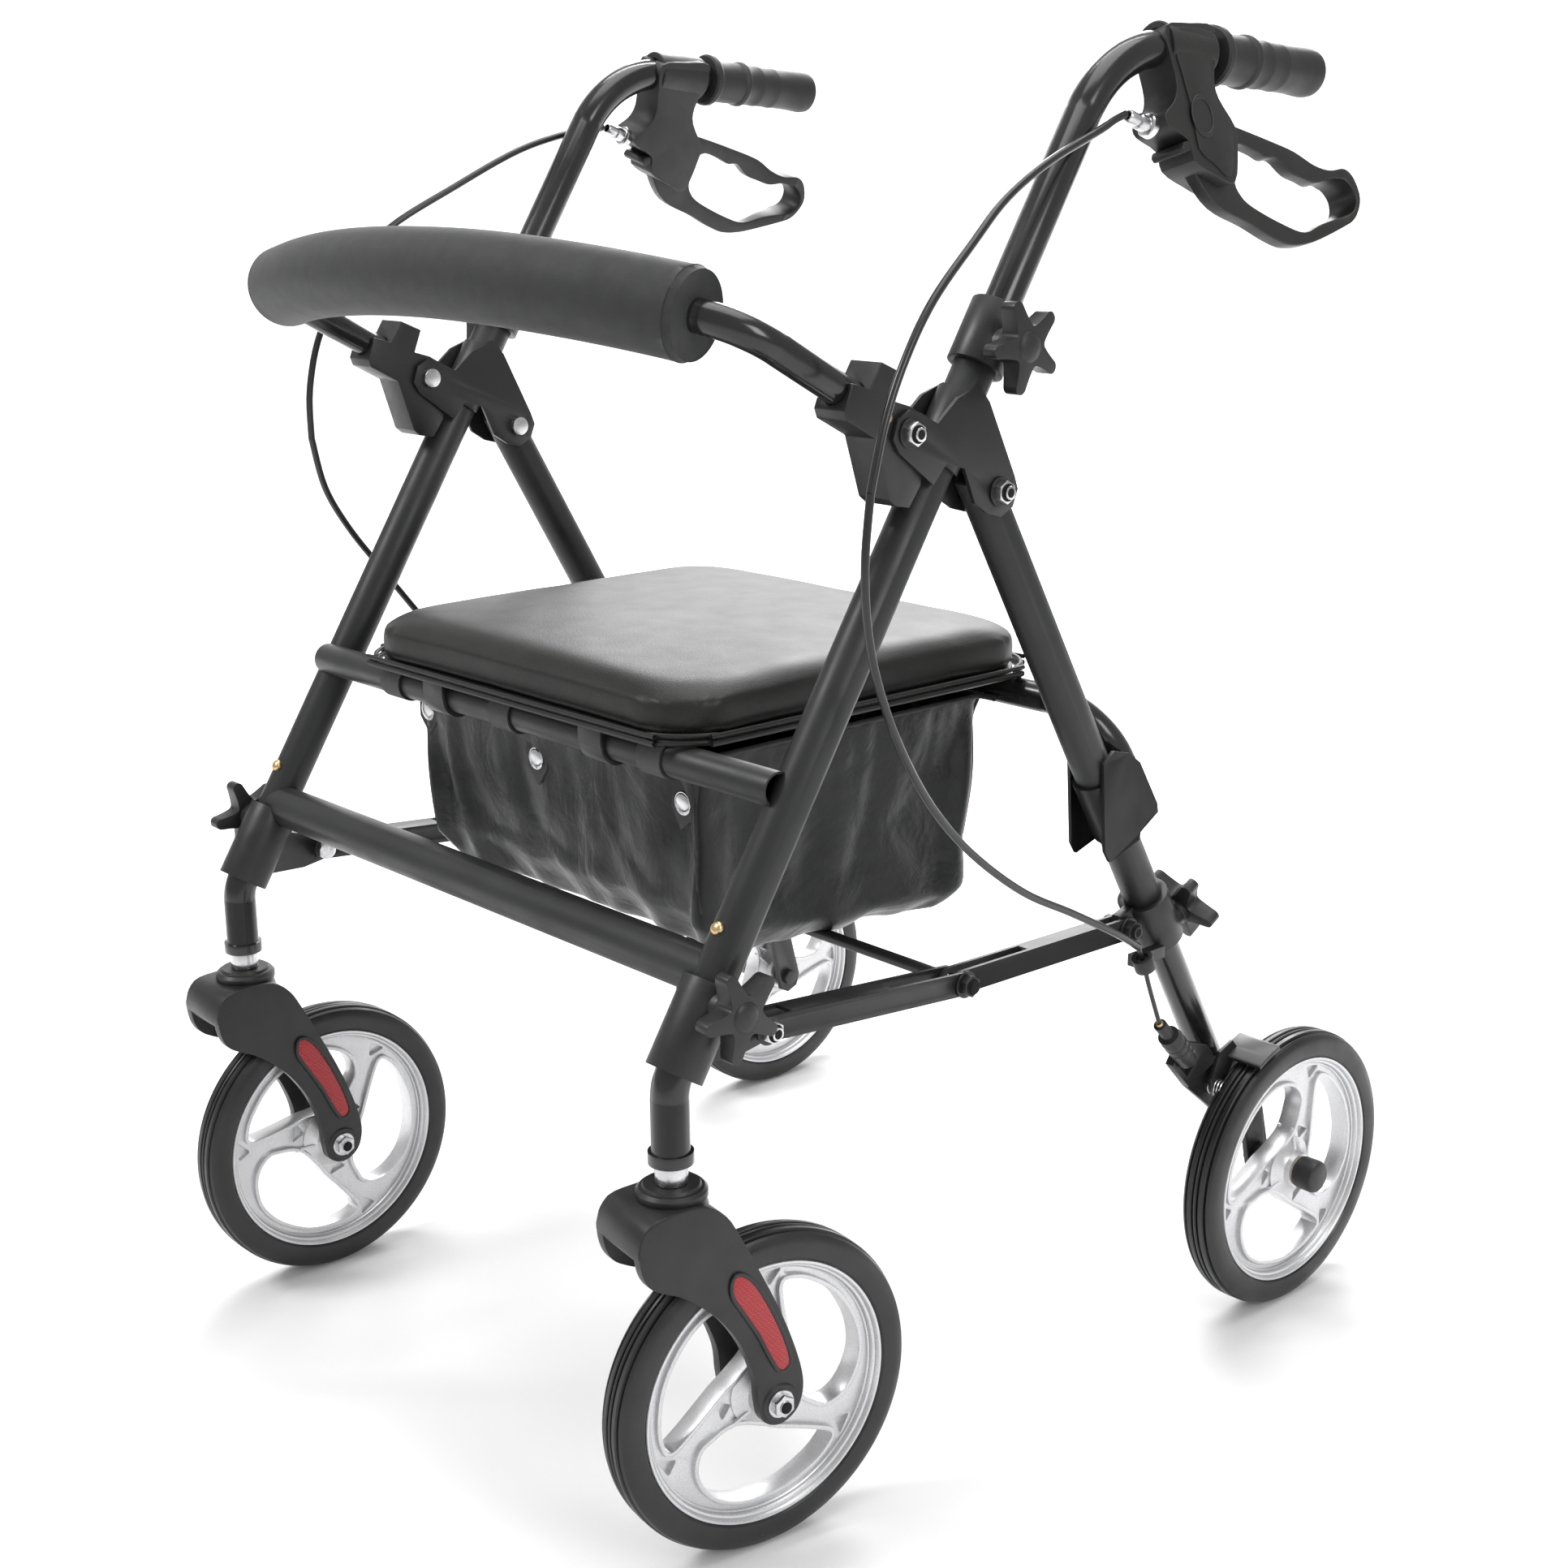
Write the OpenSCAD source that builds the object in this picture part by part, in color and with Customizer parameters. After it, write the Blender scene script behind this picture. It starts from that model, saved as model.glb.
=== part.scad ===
// Folding four-wheel rollator walker with a padded seat, a bag and a back rest.
// Millimetres. +Z is up, -Y is the way it rolls, +X is the user's left.
// The origin is on the floor, midway along the length and on the plane of symmetry.

/* [Frame] */
// Distance between the middles of the left and right legs
track = 476; // [440:2:520]
// Height of the fold axis above the floor
fold_h = 606; // [580:2:640]
// Lean of the front legs from upright, degrees
front_lean = 32.25; // [28:0.25:35]
// Lean of the rear legs from upright, degrees
rear_lean = 29.6; // [26:0.2:33]
// Outside diameter of the legs
leg_d = 25.4; // [22:0.2:30]
// Outside diameter of the tubes that slide in the legs
stem_d = 22; // [19:0.5:22]
// Wall of every round frame tube
tube_wall = 1.5; // [1.2:0.1:2]
// Square distance from the fold axis to the front legs' middle line
leg_gap = 42.8; // [38:0.2:50]
// Outside diameter of the low crossbar
low_bar_d = 28; // [24:1:32]
// Outside diameter of the crossbar that carries the seat
seat_bar_d = 21; // [18:1:24]

/* [Handles] */
// Height of the handle tube where its grip starts
handle_h = 850; // [820:2:900]
// Fall of the grips towards the user, degrees
grip_fall = 4.6; // [0:0.2:10]
// Bend radius of the handle tubes
handle_bend_r = 83; // [60:1:95]
// Length of a grip
grip_len = 106; // [100:1:125]
// Diameter of a grip
grip_d = 30; // [28:1:34]
// Outward tilt of the brake levers, degrees
lever_tilt = 16; // [8:1:20]

/* [Wheels] */
// Diameter of all four wheels over the tyres
wheel_d = 200; // [180:2:210]
// Width of a tyre
tyre_w = 26; // [20:1:28]
// Diameter of a rim as a share of the wheel's
rim_share = 0.82; // [0.7:0.01:0.84]
// Distance of a front wheel's axle behind its swivel axis
trail = 54.8; // [50:0.2:60]
// Swivel of the left caster as it stands, degrees
left_swivel = 8.1; // [0:0.1:12]
// Swivel of the right caster as it stands, degrees
right_swivel = 0.7; // [0:0.1:12]
// Distance of the rear wheels' middle planes from the plane of symmetry
rear_wheel_x = 274.4; // [272:0.2:280]
// Distance of the rear axles behind the fold axis
rear_reach = 284.6; // [270:0.2:300]

/* [Seat and bag] */
// Width of the seat
seat_w = 352; // [320:2:380]
// Depth of the seat
seat_l = 317; // [290:1:320]
// Thickness of the padded seat, without its board
seat_t = 33; // [24:1:40]
// Corner radius of the seat
seat_r = 45; // [30:1:60]
// Width of the bag
bag_w = 300; // [260:2:320]
// Height of the bag's floor above the ground
bag_floor_z = 322; // [310:2:360]
// Thickness of the bag's walls
bag_wall = 2; // [1.5:0.5:3]

/* [Back rest] */
// Diameter of the back rest's foam
foam_d = 52; // [40:1:60]
// Diameter of the back rest's tube
rest_d = 19; // [16:1:22]
// Rise of the back rest's arms, degrees
rest_rise = 29; // [20:1:35]

/* [Hidden] */

$fn = 48;
black = [0.07, 0.07, 0.08];
dark = [0.12, 0.12, 0.13];
steel = [0.75, 0.76, 0.78];
gold = [0.8, 0.6, 0.3];

// fits
slide_fit = 0.1;     // radial gap of a tube that slides in another
pin_fit = 0.05;      // radial gap of a pin that turns in its bore
seat_fit = 0.05;     // gap between pieces that are fixed to each other
side_gap = 0.4;      // gap beside a piece that turns
touch = 0.02;        // gap between faces that bear on each other
bolt_r = 4;          // M8 pivot bolts

// frame lines
half_track = track / 2;
leg_r = leg_d / 2;
stem_r = stem_d / 2;
wheel_r = wheel_d / 2;
axle_z = wheel_r;
fold_y = -48.5;
gap_y = leg_gap / cos(front_lean);
function front_y(z) = fold_y - gap_y + (z - fold_h) * tan(front_lean);
function rear_y(z) = fold_y + (fold_h - z) * tan(rear_lean);

// heights of the frame's joints
low_collar_z = 331;
low_collar_len = 54;
leg_foot_z = 318;
upper_collar_z = 692;
upper_collar_len = 38;
leg_top_z = upper_collar_z - 4;
low_bar_z = 357;
seat_bar_z = 455;
rear_foot_z = 303;
rear_top_z = fold_h + 10;
low_bar_y = front_y(low_bar_z) + 2;
seat_bar_y = front_y(seat_bar_z) - 14;
stem_bend_z = 303;
stem_bend_r = 30;
stem_foot_z = 257;
caster_top_z = 245;
caster_y = front_y(stem_bend_z);
rear_axle_y = fold_y + rear_reach;

// backrest pivot, in front of the front legs
rest_y = -122;
rest_z = 645.5;

// side links: front lug, middle joint, rear lug
front_lug = [-226, 320];
mid_lug = [-65, 306];
rear_lug = [92, 303];

module sided(s) { if (s > 0) children(); else mirror([1, 0, 0]) children(); }

// local +Z runs up the leg's middle line and local +Y points to the rear
module on_front(z) { translate([half_track, front_y(z), z]) rotate([-front_lean, 0, 0]) children(); }
module on_rear(z) { translate([half_track, rear_y(z), z]) rotate([rear_lean, 0, 0]) children(); }

// a rod along X from x0 to x1
module x_rod(x0, x1, y, z, r) { translate([x0, y, z]) rotate([0, 90, 0]) cylinder(r = r, h = x1 - x0); }

// a plate of thickness t from x0, drawn as an outline in Y and Z
module x_plate(x0, t) { translate([x0, 0, 0]) rotate([90, 0, 90]) linear_extrude(t) children(); }

// a round bar bent through ang about a line along X, from upright towards +Y;
// a shade slimmer than the straights, which run into it by bend_lap
bend_slim = 0.02;
bend_lap = 0.01;
module arc_bar(bend_r, ang, r)
    translate([0, bend_r, 0]) rotate([90, 0, -90])
        rotate_extrude(angle = ang, $fn = 64) translate([bend_r, 0]) circle(r = r - bend_slim);
module after_arc(bend_r, ang)
    translate([0, bend_r * (1 - cos(ang)), bend_r * sin(ang)]) rotate([-ang, 0, 0]) children();

module pipe(len, r, bore) {
    difference() {
        cylinder(r = r, h = len);
        translate([0, 0, -1]) cylinder(r = bore, h = len + 2);
    }
}

// ---------------------------------------------------------------- frame tubes
leg_bore = stem_r + slide_fit;
knob_screw_r = 4;
knob_hole_fit = 0.4;

module front_leg(s) {
    color(dark) sided(s) difference() {
        on_front(leg_foot_z) pipe((leg_top_z - leg_foot_z) / cos(front_lean), leg_r, leg_bore);
        on_front(upper_knob_z) rotate([0, 90, 0]) cylinder(r = knob_screw_r + knob_hole_fit, h = 40);
        on_front(front_knob_z) rotate([0, 90, 0]) cylinder(r = knob_screw_r + knob_hole_fit, h = 40);
    }
}

module rear_leg(s) {
    color(dark) sided(s) difference() {
        on_rear(rear_foot_z) pipe((rear_top_z - rear_foot_z) / cos(rear_lean), leg_r, leg_bore);
        x_rod(half_track - 30, half_track + 30, fold_y, fold_h, bolt_r + pin_fit);
        on_rear(rear_knob_z) rotate([-90, 0, 0]) cylinder(r = knob_screw_r + knob_hole_fit, h = 40);
    }
}

// a straight bar between the legs, coped to fit round them
module coped_bar(y, z, r) {
    difference() {
        x_rod(-half_track, half_track, y, z, r);
        x_rod(-half_track - 1, half_track + 1, y, z, r - tube_wall);
        for (s = [1, -1]) sided(s) on_front(z - 80) cylinder(r = leg_r + touch, h = 200);
    }
}
module lower_crossbar() { color(dark) coped_bar(low_bar_y, low_bar_z, low_bar_d / 2); }
module seat_crossbar() { color(dark) coped_bar(seat_bar_y, seat_bar_z, seat_bar_d / 2); }

// ---------------------------------------------------------------- hinge brackets
plate_t = 2.5;
plate_in = leg_r + seat_fit;   // inner face of a plate, from the leg's middle plane

module bracket_outline() {
    polygon([[-131, 654], [-122, 658.5], [-113, 656], [-100, 649], [-84, 662],
        [-67, 668], [-58, 658], [-36, 614], [-33, 606], [-37, 596], [-47, 591],
        [-58, 594], [-69, 601], [-78, 622], [-93, 626], [-103, 615], [-130, 635],
        [-135, 643]]);
}
module hinge_brackets() {
    color(black) for (s = [1, -1]) sided(s) difference() {
        union() {
            for (x0 = [half_track + plate_in, half_track - plate_in - plate_t])
                x_plate(x0, plate_t) bracket_outline();
            on_front(622) cylinder(r = leg_r + plate_t, h = 46);
        }
        on_front(600) cylinder(r = leg_r + seat_fit, h = 100);
        on_front(600) translate([-leg_r, 0, 0]) cube([2 * leg_r, 60, 100]);
        x_rod(half_track - 30, half_track + 30, fold_y, fold_h, bolt_r + seat_fit);
        x_rod(half_track - 30, half_track + 30, rest_y, rest_z, bolt_r + seat_fit);
    }
}

// a bolt along X with a round head inside, a hexagon nut outside and its shank standing out
nut_h = 6.5;
head_h = 4.5;
module pivot_bolt(y, z, half) {
    x_rod(half_track - half - head_h, half_track + half + nut_h + 2.5, y, z, bolt_r);
    x_rod(half_track - half - head_h, half_track - half, y, z, 6.5);
    translate([half_track + half, y, z]) rotate([0, 90, 0]) cylinder(r = 7, h = nut_h, $fn = 6);
}
// spring button that holds the tube inside the leg
button_z = 378;
module spring_button() { on_front(button_z) translate([0, -leg_r, 0]) rotate([90, 0, 0]) cylinder(r = 3.5, h = 1.5); }
module frame_fasteners() {
    for (s = [1, -1]) sided(s) {
        color(steel) pivot_bolt(fold_y, fold_h, plate_in + plate_t);
        color(steel) pivot_bolt(rest_y, rest_z, plate_in + plate_t);
        color(steel) pivot_bolt(front_lug[0], front_lug[1], front_in + link_t + side_gap);
        color(gold) spring_button();
    }
}

// ---------------------------------------------------------------- collars
collar_t = 4.4;
knob_boss_r = 10;
upper_knob_z = 689;
front_knob_z = 345;
rear_knob_z = 291;

module collar(len, boss_at, out) {
    difference() {
        union() {
            translate([0, 0, -len / 2]) cylinder(r = leg_r + collar_t, h = len);
            translate([0, 0, boss_at]) rotate(out) cylinder(r = knob_boss_r, h = leg_r + collar_t + 5);
        }
        children();
        translate([0, 0, boss_at]) rotate(out) cylinder(r = knob_screw_r + pin_fit, h = 60);
    }
}
module upper_collars() {
    color(black) for (s = [1, -1]) sided(s)
        on_front(upper_collar_z)
            collar(upper_collar_len, (upper_knob_z - upper_collar_z) / cos(front_lean), [0, 90, 0]) {
                bore_up = (leg_top_z - upper_collar_z) / cos(front_lean);
                translate([0, 0, -60 + bore_up]) cylinder(r = leg_r + seat_fit, h = 60);
                translate([0, 0, -60]) cylinder(r = stem_r + slide_fit, h = 120);
            }
}
mouth = 0.8;         // the lower collars open out this much for the stems' bends
mouth_h = 5;
module lower_collars() {
    foot_up = (leg_foot_z - low_collar_z) / cos(front_lean);
    color(black) for (s = [1, -1]) sided(s) difference() {
        union() {
            on_front(low_collar_z)
                collar(low_collar_len, (front_knob_z - low_collar_z) / cos(front_lean), [0, 90, 0]) {
                    translate([0, 0, foot_up]) cylinder(r = leg_r + seat_fit, h = 100);
                    translate([0, 0, -60]) cylinder(r = stem_r + slide_fit, h = 120);
                    translate([0, 0, -low_collar_len / 2 - 1]) cylinder(r = stem_r + mouth, h = 1 + mouth_h);
                }
            difference() {
                x_plate(half_track - 3.5, 7) polygon([[-286, 330], [-250, 336], [-226, 329],
                    [-218, 324], [-217, 316], [-222, 311], [-240, 308], [-290, 310]]);
                on_front(low_collar_z - 60) cylinder(r = leg_r + 2, h = 140);
            }
        }
        x_rod(half_track - 20, half_track + 20, front_lug[0], front_lug[1], bolt_r + seat_fit);
        // room for the low crossbar's end
        x_rod(0, half_track, low_bar_y, low_bar_z, low_bar_d / 2 + seat_fit);
    }
}

// ---------------------------------------------------------------- rear frame
u_off = 24;          // the seat tube stands this far behind the rear legs
u_bend_r = 44;
u_foot = 16;         // lower ends, up the leg from the bracket's middle
u_z = 404;           // height on the leg of the elbow brackets
u_top = 1;           // straight length of the arms above that
rear_tube_r = 10;

module rear_seat_tube() {
    color(black) {
        for (s = [1, -1]) sided(s) on_rear(u_z) translate([0, u_off, 0]) {
            translate([0, 0, -u_foot]) cylinder(r = rear_tube_r, h = u_top + u_foot + bend_lap);
            translate([0, 0, u_top]) rotate([0, 0, 90]) arc_bar(u_bend_r, 90, rear_tube_r);
        }
        on_rear(u_z) translate([u_bend_r - bend_lap - track, u_off, u_top + u_bend_r]) rotate([0, 90, 0])
            cylinder(r = rear_tube_r, h = track - 2 * (u_bend_r - bend_lap));
    }
}
module seat_tube_brackets() {
    color(black) for (s = [1, -1]) sided(s) difference() {
        union() {
            for (x0 = [half_track + plate_in, half_track - plate_in - plate_t])
                x_plate(x0, plate_t) polygon([[52, 424], [62, 431], [77, 427], [88, 419], [107, 388],
                    [108, 382], [91, 372], [90, 367], [61, 358], [56, 366]]);
            on_rear(376) translate([0, 0, -4]) cylinder(r = leg_r + plate_t, h = 46);
        }
        on_rear(340) cylinder(r = leg_r + seat_fit, h = 120);
        on_rear(340) translate([-leg_r, leg_r - 2, 0]) cube([2 * leg_r, 60, 120]);
        on_rear(u_z) translate([0, u_off, -60]) cylinder(r = rear_tube_r + seat_fit, h = 200);
    }
}
module rear_collars() {
    color(steel) for (s = [1, -1]) sided(s) pivot_bolt(rear_lug[0], rear_lug[1], rear_in + link_t + side_gap);
    color(black) for (s = [1, -1]) sided(s) difference() {
        union() {
            on_rear(rear_foot_z + 1) collar(38, (rear_knob_z - rear_foot_z - 1) / cos(rear_lean), [-90, 0, 0]) {
                translate([0, 0, -1 / cos(rear_lean)]) cylinder(r = leg_r + seat_fit, h = 100);
                translate([0, 0, -60]) cylinder(r = stem_r + slide_fit, h = 120);
            }
            difference() {
                x_plate(half_track - 3.5, 7) polygon([[84, 306], [88, 312], [108, 318], [130, 316], [126, 292],
                    [104, 292], [90, 294], [84, 298]]);
                on_rear(260) cylinder(r = leg_r + 2, h = 90);
            }
            // ring that guides the brake cable
            translate(guide) rotate([guide_lean, 0, 0]) difference() {
                translate([0, 0, -5]) cylinder(r = 7, h = 10);
                translate([0, 0, -6]) cylinder(r = guide_r, h = 12);
            }
            difference() {
                translate([half_track + 10, guide[1] - 3, guide[2] - 4]) cube([guide[0] - half_track - 14, 30, 8]);
                on_rear(260) cylinder(r = leg_r + 2, h = 90);
            }
        }
        x_rod(half_track - 20, half_track + 20, rear_lug[0], rear_lug[1], bolt_r + seat_fit);
    }
}

// ---------------------------------------------------------------- side links
lug_half = 3.5;
rear_in = lug_half + side_gap;
link_t = 2.4;
front_in = rear_in + link_t + side_gap;
link_h = 15;
link_eye = link_h / 2;

// one flat side of a link between two points, with a round eye at each end
module link_side(a, b) {
    hull() {
        translate(a) circle(r = link_eye, $fn = 32);
        translate(b) circle(r = link_eye, $fn = 32);
    }
}
module web_strip(a, b, from, to) {
    ang = atan2(b[1] - a[1], b[0] - a[0]);
    translate(a) rotate(ang) translate([from, link_eye - 2]) square([to - from, 2]);
}
function dist(a, b) = norm([b[0] - a[0], b[1] - a[1]]);

module link(a, b, inner, web_from, web_to) {
    difference() {
        union() {
            for (x0 = [half_track + inner, half_track - inner - link_t]) x_plate(x0, link_t) link_side(a, b);
            x_plate(half_track - inner - 0.1, 2 * inner + 0.2) web_strip(a, b, web_from, web_to);
        }
        x_rod(half_track - 30, half_track + 30, a[0], a[1], bolt_r + pin_fit);
        x_rod(half_track - 30, half_track + 30, b[0], b[1], bolt_r + pin_fit);
    }
}
mid_clear = 62;
module front_links() {
    color(black) for (s = [1, -1]) sided(s)
        link(front_lug, mid_lug, front_in, 20, dist(front_lug, mid_lug) - mid_clear);
}
module rear_links() {
    color(black) for (s = [1, -1]) sided(s)
        link(mid_lug, rear_lug, rear_in, mid_clear, dist(mid_lug, rear_lug) - 20);
}
// the rod stops at the links, so that the middle joint can open without its pin
module cross_rod() {
    face = half_track - front_in - link_t;
    color(black) x_rod(touch - face, face - touch, mid_lug[0], mid_lug[1], bolt_r);
    color(steel) for (s = [1, -1]) sided(s)
        translate([half_track + front_in + link_t + touch, mid_lug[0], mid_lug[1]]) rotate([0, 90, 0])
            cylinder(r = 7, h = nut_h, $fn = 6);
}

// ---------------------------------------------------------------- seat
seat_y0 = -228.5;
seat_mid_y = seat_y0 + seat_l / 2;
seat_z0 = seat_bar_z + seat_bar_d / 2 + 0.5;
board_t = 5;
board_in = 7;         // the board's edge stands in from the cushion's
clip_x = 84;

module rounded_slab(w, l, r, h) {
    linear_extrude(h) union() {
        square([w - 2 * r, l], center = true);
        square([w, l - 2 * r], center = true);
        for (x = [-1, 1], y = [-1, 1]) translate([x * (w / 2 - r), y * (l / 2 - r)]) circle(r = r);
    }
}
module seat_cushion() {
    color(black) translate([0, seat_mid_y, seat_z0 + board_t]) rounded_slab(seat_w, seat_l, seat_r, seat_t - board_t);
}
module seat_board() {
    color(dark) translate([0, seat_mid_y, seat_z0]) rounded_slab(seat_w - 2 * board_in, seat_l - 2 * board_in, seat_r - board_in, board_t - touch);
}
module seat_clips() {
    color(black) for (x = [-clip_x, clip_x]) difference() {
        union() {
            x_rod(x - 11, x + 11, seat_bar_y, seat_bar_z, seat_bar_d / 2 + 3);
            translate([x - 11, seat_bar_y - 14, seat_bar_z]) cube([22, 40, seat_z0 - seat_bar_z - touch]);
        }
        x_rod(x - 20, x + 20, seat_bar_y, seat_bar_z, seat_bar_d / 2 + pin_fit);
        translate([x - 20, seat_bar_y - 40, seat_z0 - touch]) cube([40, 80, 20]);
    }
}

// ---------------------------------------------------------------- back rest
rest_arm = 96;        // straight arm from below the pivot line to the corner bend
rest_corner_r = 38;
rest_corner = 71;
rest_base = [-122, 649];
socket_half = leg_r + seat_fit - side_gap;
rest_big_r = (half_track - rest_corner_r * (1 - cos(rest_corner))) / cos(rest_corner);
socket_in = 18;       // the arm stops this far before the pivot

// lies in the plane of the back rest's tube: X to the side, Y forward and up, from the pivot's side
module in_rest_plane() {
    translate([0, rest_base[0], rest_base[1]]) rotate([-rest_rise, 0, 0]) rotate([0, 0, 180]) children();
}
module rest_path(r) {
    for (s = [1, -1]) sided(s) {
        translate([half_track, rest_arm, 0]) rotate([-90, 0, 0]) rotate([0, 0, 90])
            arc_bar(rest_corner_r, rest_corner, r);
    }
    big_y = rest_arm + rest_corner_r * sin(rest_corner) - rest_big_r * sin(rest_corner);
    translate([0, big_y, 0]) rotate([0, 0, rest_corner])
        rotate_extrude(angle = 180 - 2 * rest_corner, $fn = 160) translate([rest_big_r, 0]) circle(r = r);
}
module backrest_tube() {
    color(black) in_rest_plane() {
        for (s = [1, -1]) sided(s) translate([half_track, socket_in, 0]) rotate([-90, 0, 0])
            cylinder(r = rest_d / 2, h = rest_arm - socket_in + bend_lap);
        rest_path(rest_d / 2);
    }
}
foam_trim = 0.6;      // the foam ends this many degrees inside the big arc's ends
module backrest_foam() {
    big_y = rest_arm + rest_corner_r * sin(rest_corner) - rest_big_r * sin(rest_corner);
    color(black) in_rest_plane() translate([0, big_y, 0]) rotate([0, 0, rest_corner + foam_trim])
        rotate_extrude(angle = 180 - 2 * (rest_corner + foam_trim), $fn = 160) translate([rest_big_r, 0])
            difference() {
                circle(r = foam_d / 2);
                circle(r = rest_d / 2 + seat_fit);
            }
}
module socket_outline() {
    polygon([[-47, 15.5], [-41, 30], [-28, 26], [-19, 40], [-3, 33], [-9, 18], [3, 14.5], [11, 10],
        [14.5, 2], [13, -8], [12, -30], [3, -42], [-8, -40], [-13, -36], [-24, -1], [-45, 10]]);
}
module backrest_sockets() {
    color(black) for (s = [1, -1]) sided(s) difference() {
        x_plate(half_track - socket_half, 2 * socket_half) translate([rest_y, rest_z]) socket_outline();
        x_rod(half_track - 30, half_track + 30, rest_y, rest_z, bolt_r + pin_fit);
        in_rest_plane() translate([-half_track, socket_in, 0]) rotate([-90, 0, 0])
            cylinder(r = rest_d / 2 + seat_fit, h = 200);
        on_front(580) cylinder(r = leg_r + plate_t + side_gap, h = 120);
    }
}

// ---------------------------------------------------------------- handles
handle_run = handle_bend_r * tan((90 - front_lean + grip_fall) / 2);
handle_turn = 90 - front_lean + grip_fall;
grip_start_y = 146;
// height on the front leg's line of the handle tube's corner
corner_z = (handle_h + (grip_start_y - fold_y + gap_y + fold_h * tan(front_lean)) * tan(grip_fall))
    / (1 + tan(front_lean) * tan(grip_fall));
handle_in = 160;     // length of tube held inside the leg
handle_up = (corner_z - leg_top_z) / cos(front_lean) - handle_run;
grip_from = (grip_start_y - front_y(corner_z)) / cos(grip_fall) - handle_run;
hole_pitch = 25;

// frame at the start of the handle tube's level end, local +Z towards the user
module on_grip() {
    on_front(leg_top_z) translate([0, 0, handle_up]) after_arc(handle_bend_r, handle_turn) children();
}
module handle_tube(s) {
    color(black) sided(s) difference() {
        union() {
            on_front(leg_top_z) {
                translate([0, 0, -handle_in]) cylinder(r = stem_r, h = handle_in + handle_up + bend_lap);
                translate([0, 0, handle_up]) arc_bar(handle_bend_r, handle_turn, stem_r);
            }
            on_grip() translate([0, 0, -bend_lap]) cylinder(r = stem_r, h = grip_from + grip_len - 4);
        }
        on_front(leg_top_z) {
            translate([0, 0, -handle_in - 1]) cylinder(r = stem_r - tube_wall, h = handle_in + handle_up + 1);
            for (i = [0:4]) translate([0, 0, 34 + hole_pitch * (i - 1)]) rotate([-90, 0, 0])
                cylinder(r = 3.4, h = 40);
        }
    }
}
module grip(s) {
    color(black) sided(s) on_grip() translate([0, 0, grip_from]) difference() {
        union() {
            cylinder(r = grip_d / 2, h = grip_len);
            cylinder(r = grip_d / 2 + 3.5, h = 9);
            translate([0, 0, 34]) cylinder(r = grip_d / 2 + 1, h = 6);
        }
        translate([0, 0, -1]) cylinder(r = stem_r + seat_fit, h = grip_len - 2.5);
    }
}

// the brake gear lies in a plane through the handle tube that tilts outwards going down
tube_y = 130;         // where the clamp holds the tube
tube_z = handle_h + (grip_start_y - tube_y) * tan(grip_fall);
module brake_plane() {
    translate([half_track, 0, tube_z]) rotate([0, -lever_tilt, 0]) translate([-half_track, 0, -tube_z]) children();
}
lever_y = 111;
lever_z = 808;
lever_half = 4.5;     // half thickness of the lever
loop_half = 11;       // and of its tip, widened for the fingers
housing_half = 13;
lever_pin_r = 3;
barrel = [81, 806];   // foot of the cable's barrel on the housing
module housing_outline() {
    polygon([[95, 865], [141, 865], [131, 830], [132, 820], [144, 803], [134, 768], [116, 774], [98, 783],
        [97, 796], [80, 804], [79, 811], [95, 825]]);
}
module brake_housing(s) {
    color(black) sided(s) {
        difference() {
            brake_plane() difference() {
                x_plate(half_track - housing_half, 2 * housing_half) housing_outline();
                // slot for the lever, open to the rear and below
                x_plate(half_track - lever_half - side_gap, 2 * (lever_half + side_gap))
                    polygon([[101, 822], [150, 822], [200, 826], [200, 700], [101, 700]]);
                x_rod(half_track - 30, half_track + 30, lever_y, lever_z, lever_pin_r);
                translate([half_track, barrel[0], barrel[1]]) rotate([70, 0, 0]) cylinder(r = 6 + touch, h = 40);
            }
            on_front(leg_top_z) translate([0, 0, handle_up]) arc_bar(handle_bend_r, handle_turn, stem_r + seat_fit);
            on_grip() translate([0, 0, -bend_lap]) cylinder(r = stem_r + seat_fit, h = 200);
            on_front(leg_top_z) cylinder(r = stem_r + seat_fit, h = handle_up + bend_lap);
            on_grip() translate([0, 0, grip_from - 1]) cylinder(r = 30, h = 200);
        }
        brake_plane() {
            x_rod(half_track - housing_half - 1, half_track + housing_half + 1, lever_y, lever_z, lever_pin_r - touch);
            translate([half_track, barrel[0], barrel[1]]) rotate([70, 0, 0]) {
                cylinder(r = 6, h = 10);
                cylinder(r = 4, h = 22);
            }
        }
    }
}
module finger_hole() {
    polygon([[152, 794], [171, 791], [190, 786], [204, 777], [228, 770], [240, 771], [251, 769], [258, 762],
        [258, 755], [248, 748], [227, 744], [210, 739], [187, 745], [160, 756], [149, 764], [146, 772]]);
}
module lever_outline() {
    polygon([[111, 818], [155, 806], [185, 798], [216, 789], [230, 780], [240, 777], [253, 777], [262, 770],
        [264, 757], [256, 746], [245, 741], [216, 733], [190, 732], [175, 736], [153, 746], [124, 758], [105, 800]]);
}
module brake_lever(s) {
    color(black) sided(s) brake_plane() difference() {
        union() {
            x_plate(half_track - lever_half, 2 * lever_half) lever_outline();
            x_rod(half_track - lever_half, half_track + lever_half, lever_y, lever_z, 9);
            x_plate(half_track - loop_half, 2 * loop_half) intersection() {
                lever_outline();
                translate([232, 700]) square([200, 200]);
            }
        }
        x_plate(half_track - 30, 60) finger_hole();
        x_rod(half_track - 30, half_track + 30, lever_y, lever_z, lever_pin_r + pin_fit);
    }
}

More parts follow.
